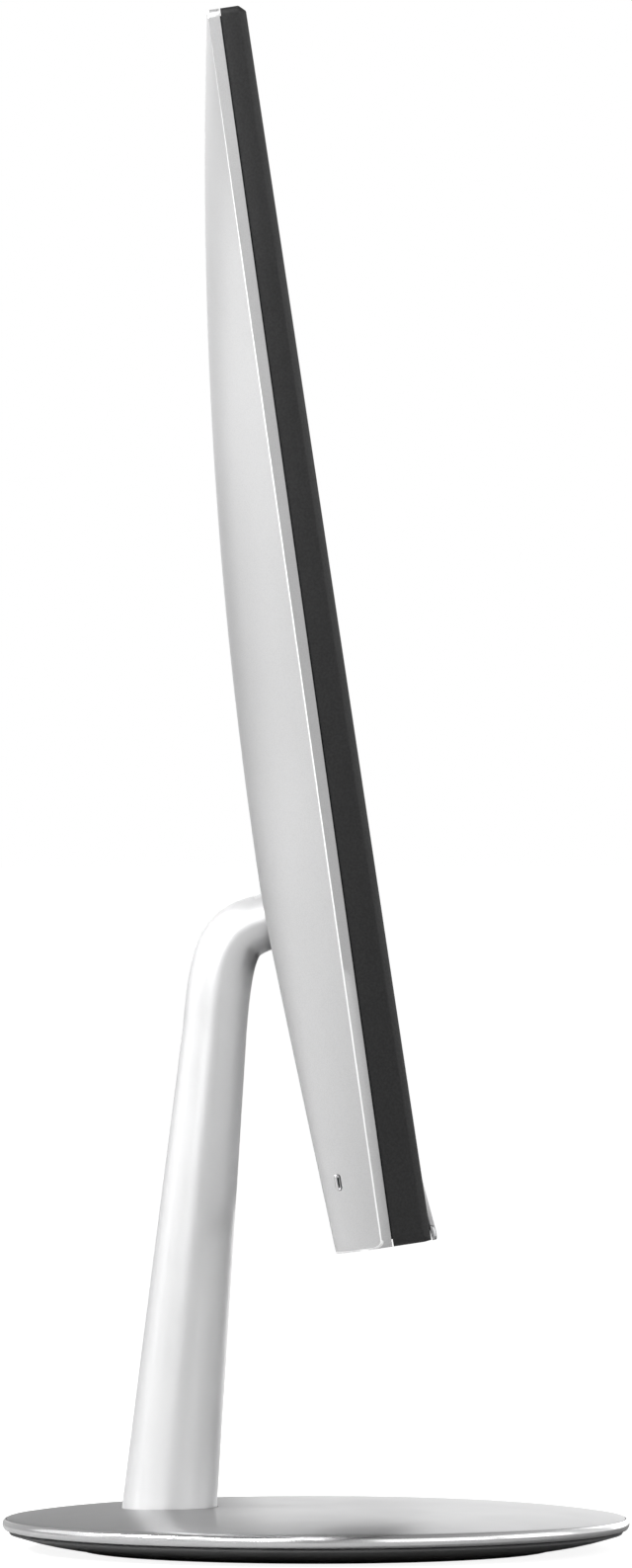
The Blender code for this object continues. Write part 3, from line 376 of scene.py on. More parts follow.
def rounded(low, high, radius, steps=6):
    """Points round a rectangle with rounded corners, as (across, up), anticlockwise."""
    points = []
    centres = (
        (high[0] - radius, low[1] + radius, -90), (high[0] - radius, high[1] - radius, 0),
        (low[0] + radius, high[1] - radius, 90), (low[0] + radius, low[1] + radius, 180),
    )
    for x, y, start in centres:
        for step in range(steps + 1):
            angle = math.radians(start + 90 * step / steps)
            points.append((x + radius * math.cos(angle), y + radius * math.sin(angle)))
    return points


def upright(low, high, radius, depth, steps=6):
    """A rounded rectangle standing in the head, at a depth or a depth that depends on height."""
    at = depth if callable(depth) else lambda height: depth
    return [(x, at(height), height) for x, height in rounded(low, high, radius, steps)]


def grown(low, high, amount):
    return (low[0] - amount, low[1] - amount), (high[0] + amount, high[1] + amount)


def around(across, up, half_across, half_up):
    """Low and high corners of a rectangle about a middle point."""
    return (across - half_across, up - half_up), (across + half_across, up + half_up)


def slab(bm, low, high, radius, front, back, edge, finish=0):
    """A plate with rounded corners between two depths, its edges softened by `edge`."""
    inner_low, inner_high = grown(low, high, -edge)
    inner_radius = max(radius - edge, 0.0001)
    mid = edge * 0.3
    soft_low, soft_high = grown(low, high, -mid)
    soft_radius = max(radius - mid, 0.0001)
    loops = [
        upright(inner_low, inner_high, inner_radius, front),
        upright(soft_low, soft_high, soft_radius, front + mid),
        upright(low, high, radius, front + edge),
        upright(low, high, radius, back - edge),
        upright(soft_low, soft_high, soft_radius, back - mid),
        upright(inner_low, inner_high, inner_radius, back),
    ]
    loft(bm, loops, finish=finish)


def block(bm, low, high, edge=0.0, finish=0):
    """A box from corner to corner, with its edges chamfered if `edge` is given."""
    low, high = Vector(low), Vector(high)
    made = bmesh.ops.create_cube(bm, size=1.0, matrix=Matrix.LocRotScale((low + high) / 2, None, high - low))
    faces = {face for vert in made["verts"] for face in vert.link_faces}
    for face in faces:
        face.material_index = finish
    if edge:
        edges = {e for vert in made["verts"] for e in vert.link_edges}
        bmesh.ops.bevel(bm, geom=list(edges), offset=edge, segments=2, profile=0.5, affect="EDGES")


def carve(obj, cutter_bm, place=ROW):
    """Cuts a mesh of separate closed shapes out of an object and keeps the result as its mesh."""
    mesh = bpy.data.meshes.new("cutter")
    cutter_bm.transform(place)
    bmesh.ops.recalc_face_normals(cutter_bm, faces=cutter_bm.faces)
    cutter_bm.to_mesh(mesh)
    cutter_bm.free()
    cutter = bpy.data.objects.new("cutter", mesh)
    bpy.context.scene.collection.objects.link(cutter)
    modifier = obj.modifiers.new("cut", "BOOLEAN")
    modifier.operation = "DIFFERENCE"
    modifier.object = cutter
    bake(obj)
    bpy.data.objects.remove(cutter)


def bake(obj):
    """Applies an object's modifiers to its mesh."""
    bpy.context.view_layer.update()
    evaluated = obj.evaluated_get(bpy.context.evaluated_depsgraph_get())
    obj.data = bpy.data.meshes.new_from_object(evaluated)
    obj.modifiers.clear()
    obj.data.shade_smooth()
    obj.data.set_sharp_from_angle(angle=math.radians(SMOOTH_ANGLE))


# ---- Head: the form of its back ----

def between(low, high, share):
    return low + (high - low) * share


def band_depth(height):
    return between(BAND_AT_BOTTOM, BAND_AT_TOP, height / HEAD_HEIGHT)


def crease_depth(height):
    return band_depth(height) + between(LIP_AT_BOTTOM, LIP_AT_TOP, height / HEAD_HEIGHT)


def full_depth(height):
    drop = HEAD_HEIGHT - height
    if drop < THICKEST_DROP:
        share = (THICKEST_DROP - drop) / THICKEST_DROP
        return THICKEST - (THICKEST - TOP_THICKNESS) * share ** BACK_CURVE
    easing = 0.012
    return THICKEST - LOWER_TAPER * (math.hypot(drop - THICKEST_DROP, easing) - easing)


def flank_width(height):
    share = min(1.0, max(0.0, height) / 0.160)
    return between(NARROW_FLANK, WIDE_FLANK, share * share * (3 - 2 * share))


def back_depth(x, height):
    across = min(1.0, (HALF_WIDTH - abs(x)) / flank_width(height))
    return between(crease_depth(height), full_depth(height), 1.0 - (1.0 - across) ** 2)


def cornered(x, height):
    """Moves a point of the square corner region onto the rounded corner."""
    from_side = HALF_WIDTH - abs(x)
    from_end = min(height, HEAD_HEIGHT - height)
    if from_side >= CORNER or from_end >= CORNER:
        return x, height
    a, b = 1 - from_side / CORNER, 1 - from_end / CORNER
    side = CORNER * (1 - a * math.sqrt(1 - b * b / 2))
    end = CORNER * (1 - b * math.sqrt(1 - a * a / 2))
    top = height > HEAD_HEIGHT / 2
    return math.copysign(HALF_WIDTH - side, x), HEAD_HEIGHT - end if top else end


CORNER_END = CORNER + 0.0004    # one more line beside the corner keeps its shading to itself
CORNER_LINES = (0.0, 0.0007, 0.0014, CORNER, CORNER_END)
FLANK_LINES, FLAT_LINES, ROW_LINES = 16, 14, 84


def shell_columns(height):
    """x of each column of the cover at a height, from its left edge to its right edge."""
    flank = flank_width(height)
    left = [-HALF_WIDTH + line for line in CORNER_LINES]
    left += [-HALF_WIDTH + between(CORNER_END, flank, i / FLANK_LINES) for i in range(1, FLANK_LINES + 1)]
    left += [between(-HALF_WIDTH + flank, 0.0, i / FLAT_LINES) for i in range(1, FLAT_LINES + 1)]
    return left + [-x for x in left[-2::-1]]


def shell_rows():
    inner = [between(CORNER_END, HEAD_HEIGHT - CORNER_END, i / ROW_LINES) for i in range(1, ROW_LINES)]
    return [*CORNER_LINES, *inner, *[HEAD_HEIGHT - line for line in reversed(CORNER_LINES)]]


def shell_skin():
    """The cover's domed back, with the lip folded forward and the crease rounded and painted brighter as a
    highlight.
    """
    bm = bmesh.new()
    grid = []
    for height in shell_rows():
        row = []
        for x in shell_columns(height):
            px, ph = cornered(x, height)
            row.append(bm.verts.new((px, back_depth(px, ph), ph)))
        grid.append(row)
    for lower, upper in zip(grid, grid[1:]):
        for i in range(len(lower) - 1):
            bm.faces.new((lower[i + 1], lower[i], upper[i], upper[i + 1]))
    rim = [edge for edge in bm.edges if edge.is_boundary]
    folded = bmesh.ops.extrude_edge_only(bm, edges=rim)
    for vert in folded["geom"]:
        if isinstance(vert, bmesh.types.BMVert):
            vert.co.y = band_depth(vert.co.z) + SEAM
    # the bevel's faces take the second finish, a near-white painted highlight along the crease
    bmesh.ops.bevel(bm, geom=rim, offset=0.00045, segments=3, profile=0.5, affect="EDGES", material=1)
    bmesh.ops.recalc_face_normals(bm, faces=bm.faces)
    rearmost = max(bm.faces, key=lambda face: face.calc_center_median().y)
    if rearmost.normal.y < 0:
        bmesh.ops.reverse_faces(bm, faces=bm.faces)
    return bm


def row_of(count, pitch, middle=0.0):
    return [middle + pitch * (i - (count - 1) / 2) for i in range(count)]


def through_back(bm, low, high, radius):
    loft(bm, [upright(low, high, radius, depth, 4) for depth in (0.0215, 0.040)])


def vent_row(bm, places, half_width, low, high):
    """Upright slots with round ends through the back."""
    for x in places:
        through_back(bm, (x - half_width, low), (x + half_width, high), half_width - 0.00001)


def through_bottom(bm, outline, reach):
    """A hole up through the bottom edge, its outline given as (across, depth)."""
    loft(bm, [[(x, depth, height) for x, depth in outline] for height in (-reach, reach)])


def shell_openings():
    """Cutters for the connector window, arm window, vents, button and lock slot."""
    bm = bmesh.new()
    through_back(bm, IO_LOW_CORNER, IO_HIGH_CORNER, 0.0015)
    opening = (-OPENING_HALF, OPENING_LOW), (OPENING_HALF, OPENING_HIGH)
    through_back(bm, *grown(*opening, 0.0018), 0.003)
    vent_row(bm, row_of(24, 0.008), 0.0015, 0.224, 0.240)
    vent_row(bm, row_of(12, 0.006, FAN_X), 0.0012, 0.159, 0.185)
    for side in (-1, 1):
        for x in row_of(9, 0.005, side * SPEAKER_X):
            through_bottom(bm, rounded(*around(x, 0.0185, 0.001, 0.0035), 0.00099, 4), 0.006)
    through_bottom(bm, rounded(*around(BUTTON_X, BUTTON_DEPTH, 0.0068, 0.0033), 0.0016), 0.005)
    outline = rounded(*around(LOCK_DEPTH, LOCK_HEIGHT, 0.0009, 0.0024), 0.00089)
    sides = -HALF_WIDTH - 0.01, -HALF_WIDTH + 0.016
    loft(bm, [[(x, depth, height) for depth, height in outline] for x in sides])
    return bm


def rear_shell():
    # the second finish paints a highlight on the rounded crease
    finishes = ["silver", "edge"]
    shell = piece("rear_shell", shell_skin(), finishes, "head", HEAD, ["rear_cover"])
    wall = shell.modifiers.new("wall", "SOLIDIFY")
    wall.thickness = WALL
    wall.offset = -1.0
    wall.use_even_offset = True
    bake(shell)
    carve(shell, shell_openings(), HEAD)


def io_surround():
    """Lining of the connector window, from the cover's face down to the connector plate."""
    bm = bmesh.new()
    outer = grown(IO_LOW_CORNER, IO_HIGH_CORNER, -0.0002)
    inner = grown(IO_LOW_CORNER, IO_HIGH_CORNER, -0.0012)

    def face(height):
        return full_depth(height) - 0.0002

    def face_edge(height):
        return full_depth(height) - 0.0005

    loops = [
        upright(*outer, 0.0013, 0.0263), upright(*outer, 0.0013, face_edge),
        upright(*grown(*outer, -0.0003), 0.0011, face), upright(*grown(*inner, 0.0002), 0.0008, face),
        upright(*inner, 0.0006, face_edge), upright(*inner, 0.0006, 0.0263),
    ]
    loft(bm, loops, ring=True)
    piece("io_surround", bm, ["black_smooth"], "head", HEAD)


def arm_surround():
    """Rounded frame that lines the opening round the arm."""
    bm = bmesh.new()
    low, high = (-OPENING_HALF, OPENING_LOW), (OPENING_HALF, OPENING_HIGH)
    outer = grown(low, high, 0.0015)
    back = full_depth(PIVOT_IN_HEAD.z)
    loops = [
        upright(*outer, 0.0027, back - 0.0040), upright(*outer, 0.0027, back - 0.0001),
        upright(*grown(*outer, -0.0003), 0.0024, back + 0.0003),
        upright(*grown(low, high, 0.0004), 0.0016, back + 0.0003),
        upright(low, high, 0.0012, back - 0.0003), upright(low, high, 0.0012, back - 0.0040),
    ]
    loft(bm, loops, ring=True)
    piece("arm_surround", bm, ["black_smooth"], "head", HEAD, ["arm_opening_trim"])


# ---- Head: front ----

def bezel_loops():
    """Closed cross-section of the front frame, as loops from its outer back edge round to its inner one.

    The outer edge is chamfered, least along the bottom. A tongue inside reaches behind the cover's rim.
    """
    low, high = (-HALF_WIDTH, 0.0), (HALF_WIDTH, HEAD_HEIGHT)
    view_top = HEAD_HEIGHT - TOP_BORDER
    view = (-VIEW_WIDTH / 2, view_top - VIEW_HEIGHT), (VIEW_WIDTH / 2, view_top)
    tongue_outside, tongue_inside = 0.0021, 0.0025

    def outer(inset, depth):
        corners = (low[0] + inset, low[1] + inset * 0.15), (high[0] - inset, high[1] - inset)
        return upright(*corners, max(CORNER - inset, 0.0003), depth)

    def inner(inset, depth):
        return upright(*grown(low, high, -inset), 0.0004, depth)

    def behind_seam(height):
        return band_depth(height) + 0.0015

    def back_edge(height):
        return band_depth(height) - 0.0001

    return [
        outer(0.0, back_edge), outer(0.0, 0.0022), outer(0.00012, 0.0018), outer(0.0016, 0.00022),
        outer(0.0020, 0.0),
        upright(*grown(*view, 0.0005), 0.0010, 0.0), upright(*grown(*view, 0.0001), 0.0006, 0.0003),
        upright(*view, 0.0005, 0.0008), upright(*view, 0.0005, 0.0015),
        inner(tongue_inside, 0.0015), inner(tongue_inside, behind_seam),
        inner(tongue_outside, behind_seam), inner(tongue_outside, back_edge),
    ]


def front_frame():
    bm = bmesh.new()
    loft(bm, bezel_loops(), ring=True)
    frame_piece = piece("front_frame", bm, ["black"], "head", HEAD, ["front_bezel"], 30.0)
    holes = bmesh.new()
    facing = Matrix.Rotation(math.pi / 2, 4, "X")
    for x, radius in ((0.0, 0.0018), (-0.018, 0.0005), (0.018, 0.0005)):
        add_revolved(holes, [(radius, -0.01), (radius, 0.01)], 32, (x, 0.0, WEBCAM_HEIGHT), turn=facing)
    carve(frame_piece, holes, HEAD)


def screen():
    """Panel behind the frame, with a thin metal edge round its glass."""
    bm = bmesh.new()
    low, high = (-PANEL_WIDTH / 2, PANEL_BOTTOM), (PANEL_WIDTH / 2, PANEL_TOP)
    slab(bm, low, high, 0.0010, PANEL_FRONT, PANEL_FRONT + 0.0008, 0.0002)
    slab(bm, *grown(low, high, -0.0002), 0.0008, PANEL_FRONT + 0.0008, PANEL_BACK, 0.0002, 1)
    piece("screen_panel", bm, ["glass", "alloy"], "head", HEAD, ["lcd_panel"])


def chin_strip():
    """Bright strip along the bottom of the front face, its ends rounded off."""
    outline = [
        (-0.0003, 0.0001), (-0.0013, 0.0001), (-0.0016, 0.0004), (-0.0017, 0.0012), (-0.0017, 0.0024),
        (-0.0016, 0.0034), (-0.0014, 0.0039), (-0.0010, 0.0042), (-0.0006, 0.0043), (-0.0003, 0.0043),
    ]
    half, rounding, steps, middle = HALF_WIDTH - 0.0022, 0.0012, 4, 0.0022
    turns = [math.pi / 2 * i / steps for i in range(steps + 1)]
    stations = [(-half + rounding * (1 - math.cos(turn)), math.sin(turn)) for turn in turns]
    stations += [(-x, size) for x, size in reversed(stations)]
    loops = [
        [(x, -0.0003 + (depth + 0.0003) * (0.4 + 0.6 * size), middle + (height - middle) * (0.7 + 0.3 * size))
         for depth, height in outline]
        for x, size in stations
    ]
    bm = bmesh.new()
    loft(bm, loops)
    piece("chin_strip", bm, ["strip"], "head", HEAD, ["chin_trim"])


def webcam():
    """Lens barrel and its domed glass behind the hole in the frame."""
    facing = Matrix.Rotation(math.pi / 2, 4, "X")
    centre = (0.0, 0.0020, WEBCAM_HEIGHT)
    barrel = [
        (0.0011, -0.0003), (0.0011, 0.0012), (0.00125, 0.0014),
        (0.00145, 0.0014), (0.0015, 0.0013), (0.0015, -0.0003),
    ]
    glass = [(0.00105, 0.0), (0.00105, 0.0009), (0.0008, 0.00105), (0.0004, 0.00118), (0.0, 0.0012)]
    bm = bmesh.new()
    add_revolved(bm, barrel, 40, centre, True, facing)
    add_revolved(bm, glass, 40, centre, False, facing, 1)
    piece("webcam_optics", bm, ["black_smooth", "lens"], "head", HEAD, ["webcam_lens"])


def button_cap():
    """Power button: a rounded bar with a dished face."""
    outline = around(BUTTON_X, BUTTON_DEPTH, 0.0064, 0.0029)
    bm = bmesh.new()

    def level(inset, height):
        shape = rounded(*grown(*outline, -inset), 0.0022 - inset)
        return [(x, depth, height) for x, depth in shape]

    loft(bm, [
        level(0.0, 0.0046), level(0.0, 0.0002), level(0.0002, -0.0003), level(0.0006, -0.0006),
        level(0.0011, -0.0005), level(0.0018, -0.0003),
    ])
    flange = [(BUTTON_X - 0.0085, BUTTON_DEPTH - 0.0045), (BUTTON_X + 0.0085, BUTTON_DEPTH + 0.0028)]
    shape = rounded(*flange, 0.001)
    loft(bm, [[(x, depth, height) for x, depth in shape] for height in (0.0026, 0.0040)])
    piece("power_button_cap", bm, ["chrome"], "button", HEAD, ["power_button"])


def lock_slot():
    """Metal lining of the security slot, just inside its hole in the cover's side."""
    bm = bmesh.new()
    x = -HALF_WIDTH + 0.0068
    outer = (LOCK_DEPTH - 0.0006, LOCK_HEIGHT - 0.0023), (LOCK_DEPTH + 0.0008, LOCK_HEIGHT + 0.0023)
    inner = (LOCK_DEPTH - 0.0003, LOCK_HEIGHT - 0.0014), (LOCK_DEPTH + 0.0001, LOCK_HEIGHT + 0.0014)

    def at(x_place, corners, radius):
        return [(x_place, depth, height) for depth, height in rounded(*corners, radius)]

    loops = [
        at(x + 0.009, outer, 0.00065), at(x, outer, 0.00065), at(x - 0.0002, grown(*outer, -0.0002), 0.00045),
        at(x - 0.0001, grown(*inner, 0.0001), 0.00025), at(x + 0.0004, inner, 0.00018),
        at(x + 0.009, inner, 0.00018),
    ]
    loft(bm, loops, ring=True)
    piece("lock_slot_plate", bm, ["satin"], "head", HEAD, ["lock_slot_insert"])


# ---- Head: rear connectors ----

def metal_port(name, x, width, low, high, mouth, tongue, contacts, node):
    """Connector shell with a rolled mouth, its tongue and a row of contacts."""
    bm = bmesh.new()
    middle = (low + high) / 2
    outer = (x - width / 2, low), (x + width / 2, high)
    inner = (x - mouth[0] / 2, middle - mouth[1] / 2), (x + mouth[0] / 2, middle + mouth[1] / 2)
    loops = [
        upright(*outer, 0.0008, 0.0162, 3), upright(*outer, 0.0008, PORT_BACK - 0.0004, 3),
        upright(*grown(*outer, -0.0002), 0.0006, PORT_BACK, 3),
        upright(*grown(*inner, 0.0002), 0.0007, PORT_BACK, 3),
        upright(*inner, 0.0005, PORT_BACK - 0.0006, 3), upright(*inner, 0.0005, 0.0185, 3),
    ]
    loft(bm, loops)
    if tongue:
        wide, tall = tongue[0] / 2, tongue[1] / 2
        block(bm, (x - wide, 0.0184, middle - tall), (x + wide, 0.0252, middle + tall), 0.0002, 1)
        pitch = tongue[0] * 0.8 / contacts
        half, face = pitch * 0.28, middle - tall
        for place in row_of(contacts, pitch, x):
            block(bm, (place - half, 0.0190, face - 0.00006), (place + half, 0.0249, face + 0.0001), 0.0, 2)
    else:
        half, roof = 0.00022, middle + mouth[1] / 2
        for place in row_of(contacts, 0.00102, x):
            block(bm, (place - half, 0.0186, roof - 0.0016), (place + half, 0.0240, roof - 0.0012), 0.0, 2)
    piece(name, bm, ["steel", "black_smooth", "gold"], "head", HEAD, [node])


def round_port(name, x, radius, bore, pin, node):
    """Round socket with a pin in it, or with a metal ring at its mouth if it has no pin."""
    bm = bmesh.new()
    back = Matrix.Rotation(-math.pi / 2, 4, "X")
    front = 0.0159
    centre = (x, front, PORT_HEIGHT)
    length = PORT_BACK - front
    profile = [
        (radius, 0.0), (radius, length - 0.0004), (radius - 0.0003, length), (bore + 0.0003, length),
        (bore, length - 0.0003), (bore, 0.0022), (0.0, 0.0022),
    ]
    add_revolved(bm, [(0.0, 0.0), *profile], 40, centre, False, back)
    if pin:
        shape = [(pin, 0.0020), (pin, 0.0086), (pin * 0.6, 0.0091), (0.0, 0.0092)]
        add_revolved(bm, shape, 24, centre, False, back, 1)
    else:
        near, far = bore + 0.0001, bore + 0.0009
        low, high = length - 0.0002, length + 0.0001
        ring = [(near, low), (near, high), (far, high), (far, low)]
        add_revolved(bm, ring, 40, centre, True, back, 1)
    piece(name, bm, ["black_smooth", "steel"], "head", HEAD, [node])


def connectors():
    # width, bottom, top, mouth, tongue, contacts
    usb = (0.0145, 0.0500, 0.0572, (0.0128, 0.0056), (0.0110, 0.0020), 4)
    video = (0.0165, 0.0500, 0.0575, (0.0152, 0.0058), (0.0110, 0.0012), 9)
    network = (0.0164, 0.0480, 0.0618, (0.0122, 0.0090), None, 8)
    for number, x in enumerate((-0.165, -0.147, -0.129, -0.111), 1):
        metal_port(f"usb_socket_{number}", x, *usb, f"usb_port_{number}")
    metal_port("video_socket", -0.187, *video, "video_port")
    metal_port("network_socket", -0.088, *network, "network_port")
    round_port("power_socket", -0.211, 0.0052, 0.0034, 0.0010, "power_inlet")
    round_port("audio_socket", -0.2005, 0.0036, 0.0018, None, "audio_jack")


# ---- Stand ----

def bend(share):
    """Point on the curve that joins the arm's straight part to its end."""
    first, second = ARM_BEND_HANDLES
    rest = 1 - share
    return (
        ARM_BEND_START * rest ** 3 + first * 3 * rest ** 2 * share
        + second * 3 * rest * share ** 2 + ARM_BEND_END * share ** 3
    )


def arm_stations():
    """(point, radius) along the arm's centre line, from its foot to inside the head."""
    straight, curved = 14, 30
    start = ARM_FOOT + (ARM_BEND_START - ARM_FOOT).normalized() * 0.0016
    stations = []
    for i in range(straight):
        share = i / straight
        radius = between(ARM_FOOT_RADIUS, ARM_MIDDLE_RADIUS, share)
        stations.append((start.lerp(ARM_BEND_START, share), radius))
    for i in range(curved + 1):
        share = i / curved
        stations.append((bend(share), between(ARM_MIDDLE_RADIUS, ARM_END_RADIUS, share ** 2)))
    inward = (PIVOT - ARM_BEND_END).normalized()
    stations.append((ARM_BEND_END + inward * ARM_INSIDE_HEAD, ARM_END_RADIUS))
    return stations


def ring_across(point, along, radius, sides):
    """Circle about a point of the YZ plane, square to `along`."""
    across = Vector((1.0, 0.0, 0.0))
    up = along.cross(across).normalized()
    angles = [2 * math.pi * i / sides for i in range(sides)]
    return [point + across * (radius * math.cos(a)) + up * (radius * math.sin(a)) for a in angles]


def arm():
    """Tapered tube, closed at its foot and open at the end inside the head."""
    sides = 72
    stations = arm_stations()
    points = [point for point, _ in stations]
    ahead = [after - before for before, after in zip([points[0], *points[:-1]], [*points[1:], points[-1]])]
    loops = [ring_across(point, along, radius, sides) for (point, radius), along in zip(stations, ahead)]
    tip, radius = stations[-1]
    inward = ahead[-1].normalized()
    bore = radius - ARM_WALL
    loops.append(ring_across(tip + inward * 0.0002, inward, radius - 0.0004, sides))
    loops.append(ring_across(tip + inward * 0.0002, inward, bore + 0.0003, sides))
    loops.append(ring_across(tip, inward, bore, sides))
    loops.append(ring_across(tip - inward * 0.0080, inward, bore, sides))
    bm = bmesh.new()
    loft(bm, loops)
    piece("arm_tube", bm, ["satin"], "stand", ROW, ["stand_arm"], 40.0)


def dome_height(radius):
    return RIM_HEIGHT + DOME_RISE * (1 - (radius / BASE_RADIUS) ** DOME_POWER)


def arm_hole_cutter(radius):
    along = (ARM_BEND_START - ARM_FOOT).normalized()
    centre = ARM_FOOT + Vector((0.0, -0.0005, 0.005))
    bm = bmesh.new()
    loft(bm, [ring_across(centre + along * step, along, radius, 96) for step in (-0.015, 0.015)])
    return bm


def base_top():
    """Polished plate: domed top, edge rolled over, and the hole for the arm."""
    edge = PLATE_RADIUS - 0.0003
    steps = 26
    radii = [edge * (i / steps) ** 0.75 for i in range(steps + 1)]
    upper = [(radius, dome_height(radius)) for radius in radii]
    rolled = [(PLATE_RADIUS, dome_height(PLATE_RADIUS) - 0.0002), (PLATE_RADIUS, 0.0082), (edge, 0.0080)]
    lower = [(radius, dome_height(radius) - PLATE_THICKNESS) for radius in (0.0900, 0.0600, 0.0)]
    profile = upper + rolled + lower
    bm = revolve(profile, 256)
    plate = piece("base_top", bm, ["plate"], "stand", ROW, ["base_plate"], 40.0)
    carve(plate, arm_hole_cutter(ARM_FOOT_RADIUS + 0.0003))


def base_ring():
    """Bright bevelled ring round the plate's edge."""
    profile = [
        (0.0940, 0.0090), (0.0941, 0.0093), (0.0944, 0.00915), (0.0947, 0.0088), (0.0949, 0.0083),
        (0.0950, 0.0078), (0.0950, 0.0074), (0.0949, 0.0070), (0.0944, 0.0062), (0.0911, 0.0053),
        (0.0911, 0.0060), (0.0940, 0.0062),
    ]
    bm = revolve(profile, 256, ring=True)
    piece("base_ring", bm, ["rim"], "stand", ROW, ["base_trim_ring"], 50.0)


def base_tub():
    """Black moulded underside, its outer wall curving in to the foot ring's groove."""
    profile = [
        (0.0, 0.0026), (0.0700, 0.0026), (0.0885, 0.0052), (0.0926, 0.0055), (0.0930, 0.0052),
        (0.0928, 0.0048), (0.0900, 0.0040), (0.0860, 0.0029), (0.0820, 0.0020), (0.0775, 0.0012),
        (0.0732, 0.0007), (0.0722, 0.0006), (0.0718, 0.0007), (0.0718, 0.0012), (0.0597, 0.0012),
        (0.0597, 0.0006), (0.0, 0.0006),
    ]
    # the tub finish is black plastic lightened as painted fill light from the table below
    piece("base_tub", revolve(profile, 192), ["tub"], "stand", ROW, ["base_underside"])


def foot_pad():
    """Rubber ring with two grooves in its lower face."""
    profile = [
        (0.0600, 0.0009), (0.0600, 0.0002), (0.0602, 0.0), (0.0632, 0.0), (0.0635, 0.0003),
        (0.0645, 0.0003), (0.0648, 0.0), (0.0668, 0.0), (0.0671, 0.0003), (0.0681, 0.0003),
        (0.0684, 0.0), (0.0713, 0.0), (0.0715, 0.0002), (0.0715, 0.0009),
    ]
    piece("foot_pad", revolve(profile, 160, ring=True), ["rubber"], "stand", ROW, ["foot_ring"])


# ---- Studio ----

AIM = Vector((0.0, 0.0, 0.22))

# Softboxes: degrees from the camera's side towards +Y, degrees up, distance, width, height, glow
SOFTBOXES = {
    "key": (77, 38, 1.18, 0.60, 0.50, 25.0),
    "high_front": (5, 50, 0.85, 0.40, 0.30, 2.0),
    "near_front": (25, 25, 0.91, 0.30, 0.50, 6.3),
    "left_front": (30, 15, 1.30, 1.00, 0.80, 0.50),
    "left_side": (75, 15, 1.30, 1.00, 0.80, 0.40),
    "left_rear": (105, 15, 1.30, 1.00, 0.80, 0.75),
    "left_low": (75, -5.5, 1.14, 1.00, 0.20, 0.40),
    "right_front": (-45, 15, 1.30, 1.00, 0.80, 1.20),
    "right_side": (-90, 15, 1.30, 0.80, 0.80, 1.2),
    "rear": (180, 15, 1.30, 0.80, 0.80, 0.25),
}

# Softboxes on the side away from the camera: centre, aim, width, height, glow
FAR_SOFTBOXES = {
    "rear_right": ((0.95, -0.40, 0.31), (0.0, -0.40, 0.31), 0.86, 0.60, 1.5),
    "table_right": ((0.62, -0.24, 0.003), (0.62, -0.24, 1.0), 0.66, 0.52, 0.8),
}

TABLE_GLOW = 0.90

CAMERA_PLACE = (-3.68, 0.0, 0.2316)
CAMERA_LENS, CAMERA_SENSOR = 279.0, 36.0        # millimetres

# Glow of the room in the four level directions
ROOM = (((-1, 0, 0), 0.32), ((1, 0, 0), 0.50), ((0, -1, 0), 0.65), ((0, 1, 0), 0.10))


def softbox(name, centre, aim, width, height, glow):
    """Rectangular light that no camera sees."""
    data = bpy.data.lights.new(name, "AREA")
    data.shape = "RECTANGLE"
    data.size, data.size_y = width, height
    data.energy = glow * width * height * math.pi
    light = bpy.data.objects.new(name, data)
    bpy.context.scene.collection.objects.link(light)
    light.location = centre
    light.rotation_euler = (Vector(aim) - Vector(centre)).to_track_quat("-Z", "Y").to_euler()
    light.visible_camera = False


def studio():
    for name, (turn, up, distance, width, height, glow) in SOFTBOXES.items():
        turn, up = math.radians(turn), math.radians(up)
        level = math.cos(up)
        centre = AIM + distance * Vector((-math.cos(turn) * level, math.sin(turn) * level, math.sin(up)))
        softbox(name, centre, AIM, width, height, glow)
    for name, settings in FAR_SOFTBOXES.items():
        softbox(name, *settings)


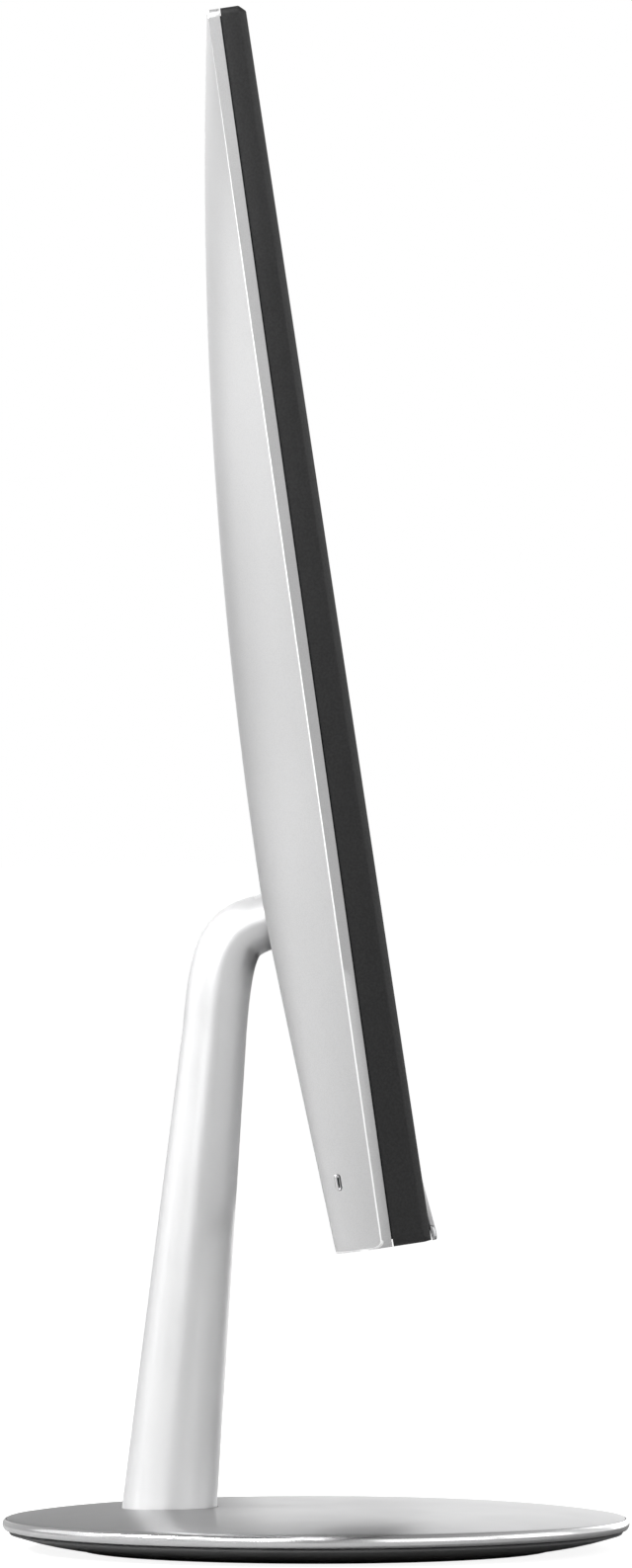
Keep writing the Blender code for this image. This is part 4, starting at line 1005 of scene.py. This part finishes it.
def sky():
    """White backdrop to the camera, and a soft uneven room to everything else."""
    world = bpy.data.worlds.new("studio_room")
    bpy.context.scene.world = world
    world.use_nodes = True
    tree = world.node_tree
    tree.nodes.clear()

    def add(kind, **values):
        node = tree.nodes.new(kind)
        for key, value in values.items():
            setattr(node, key, value)
        return node

    place = add("ShaderNodeTexCoord").outputs["Generated"]
    total = None
    for direction, glow in ROOM:
        facing = add("ShaderNodeVectorMath", operation="DOT_PRODUCT")
        facing.inputs[1].default_value = direction
        tree.links.new(place, facing.inputs[0])
        front = add("ShaderNodeMath", operation="MAXIMUM")
        front.inputs[1].default_value = 0.0
        tree.links.new(facing.outputs["Value"], front.inputs[0])
        share = add("ShaderNodeMath", operation="MULTIPLY_ADD")
        share.inputs[1].default_value = glow
        share.inputs[2].default_value = 0.0
        tree.links.new(front.outputs["Value"], share.inputs[0])
        if total:
            tree.links.new(total, share.inputs[2])
        total = share.outputs["Value"]

    room, white = add("ShaderNodeBackground"), add("ShaderNodeBackground")
    for background in (room, white):
        background.inputs["Color"].default_value = (1.0, 1.0, 1.0, 1.0)
    tree.links.new(total, room.inputs["Strength"])
    mix = add("ShaderNodeMixShader")
    tree.links.new(add("ShaderNodeLightPath").outputs["Is Camera Ray"], mix.inputs["Fac"])
    tree.links.new(room.outputs["Background"], mix.inputs[1])
    tree.links.new(white.outputs["Background"], mix.inputs[2])
    tree.links.new(mix.outputs["Shader"], add("ShaderNodeOutputWorld").inputs["Surface"])


def floor():
    """Pale table. The camera sees it lit from within, so it is nearly as white as the backdrop."""
    bm = bmesh.new()
    bmesh.ops.create_grid(bm, x_segments=2, y_segments=2, size=30.0)
    mesh = bpy.data.meshes.new("floor")
    bm.to_mesh(mesh)
    bm.free()
    table = bpy.data.objects.new("floor", mesh)
    bpy.context.scene.collection.objects.link(table)
    material = bpy.data.materials.new("pale_table")
    material.use_nodes = True
    tree = material.node_tree
    shader = tree.nodes["Principled BSDF"]
    shader.inputs["Base Color"].default_value = (0.35, 0.35, 0.35, 1.0)
    shader.inputs["Roughness"].default_value = 0.9
    shader.inputs["Specular IOR Level"].default_value = 0.0
    shader.inputs["Emission Color"].default_value = (1.0, 1.0, 1.0, 1.0)
    glow = tree.nodes.new("ShaderNodeMath")
    glow.operation = "MULTIPLY"
    glow.inputs[1].default_value = TABLE_GLOW
    tree.links.new(tree.nodes.new("ShaderNodeLightPath").outputs["Is Camera Ray"], glow.inputs[0])
    tree.links.new(glow.outputs["Value"], shader.inputs["Emission Strength"])
    mesh.materials.append(material)


def camera():
    """Level camera near the computer's middle height, looking at its side along +X."""
    data = bpy.data.cameras.new("camera")
    data.lens = CAMERA_LENS
    data.sensor_width = CAMERA_SENSOR
    view = bpy.data.objects.new("camera", data)
    bpy.context.scene.collection.objects.link(view)
    view.location = CAMERA_PLACE
    view.rotation_euler = (math.pi / 2, 0.0, -math.pi / 2)
    data.clip_end = 100.0
    bpy.context.scene.camera = view
    bpy.context.scene.view_settings.view_transform = "Standard"


def build():
    finish_cad_nodes()
    rear_shell()
    io_surround()
    arm_surround()
    front_frame()
    screen()
    chin_strip()
    webcam()
    button_cap()
    lock_slot()
    connectors()
    arm()
    base_top()
    base_ring()
    base_tub()
    foot_pad()


camera()
build()
studio()
sky()
floor()
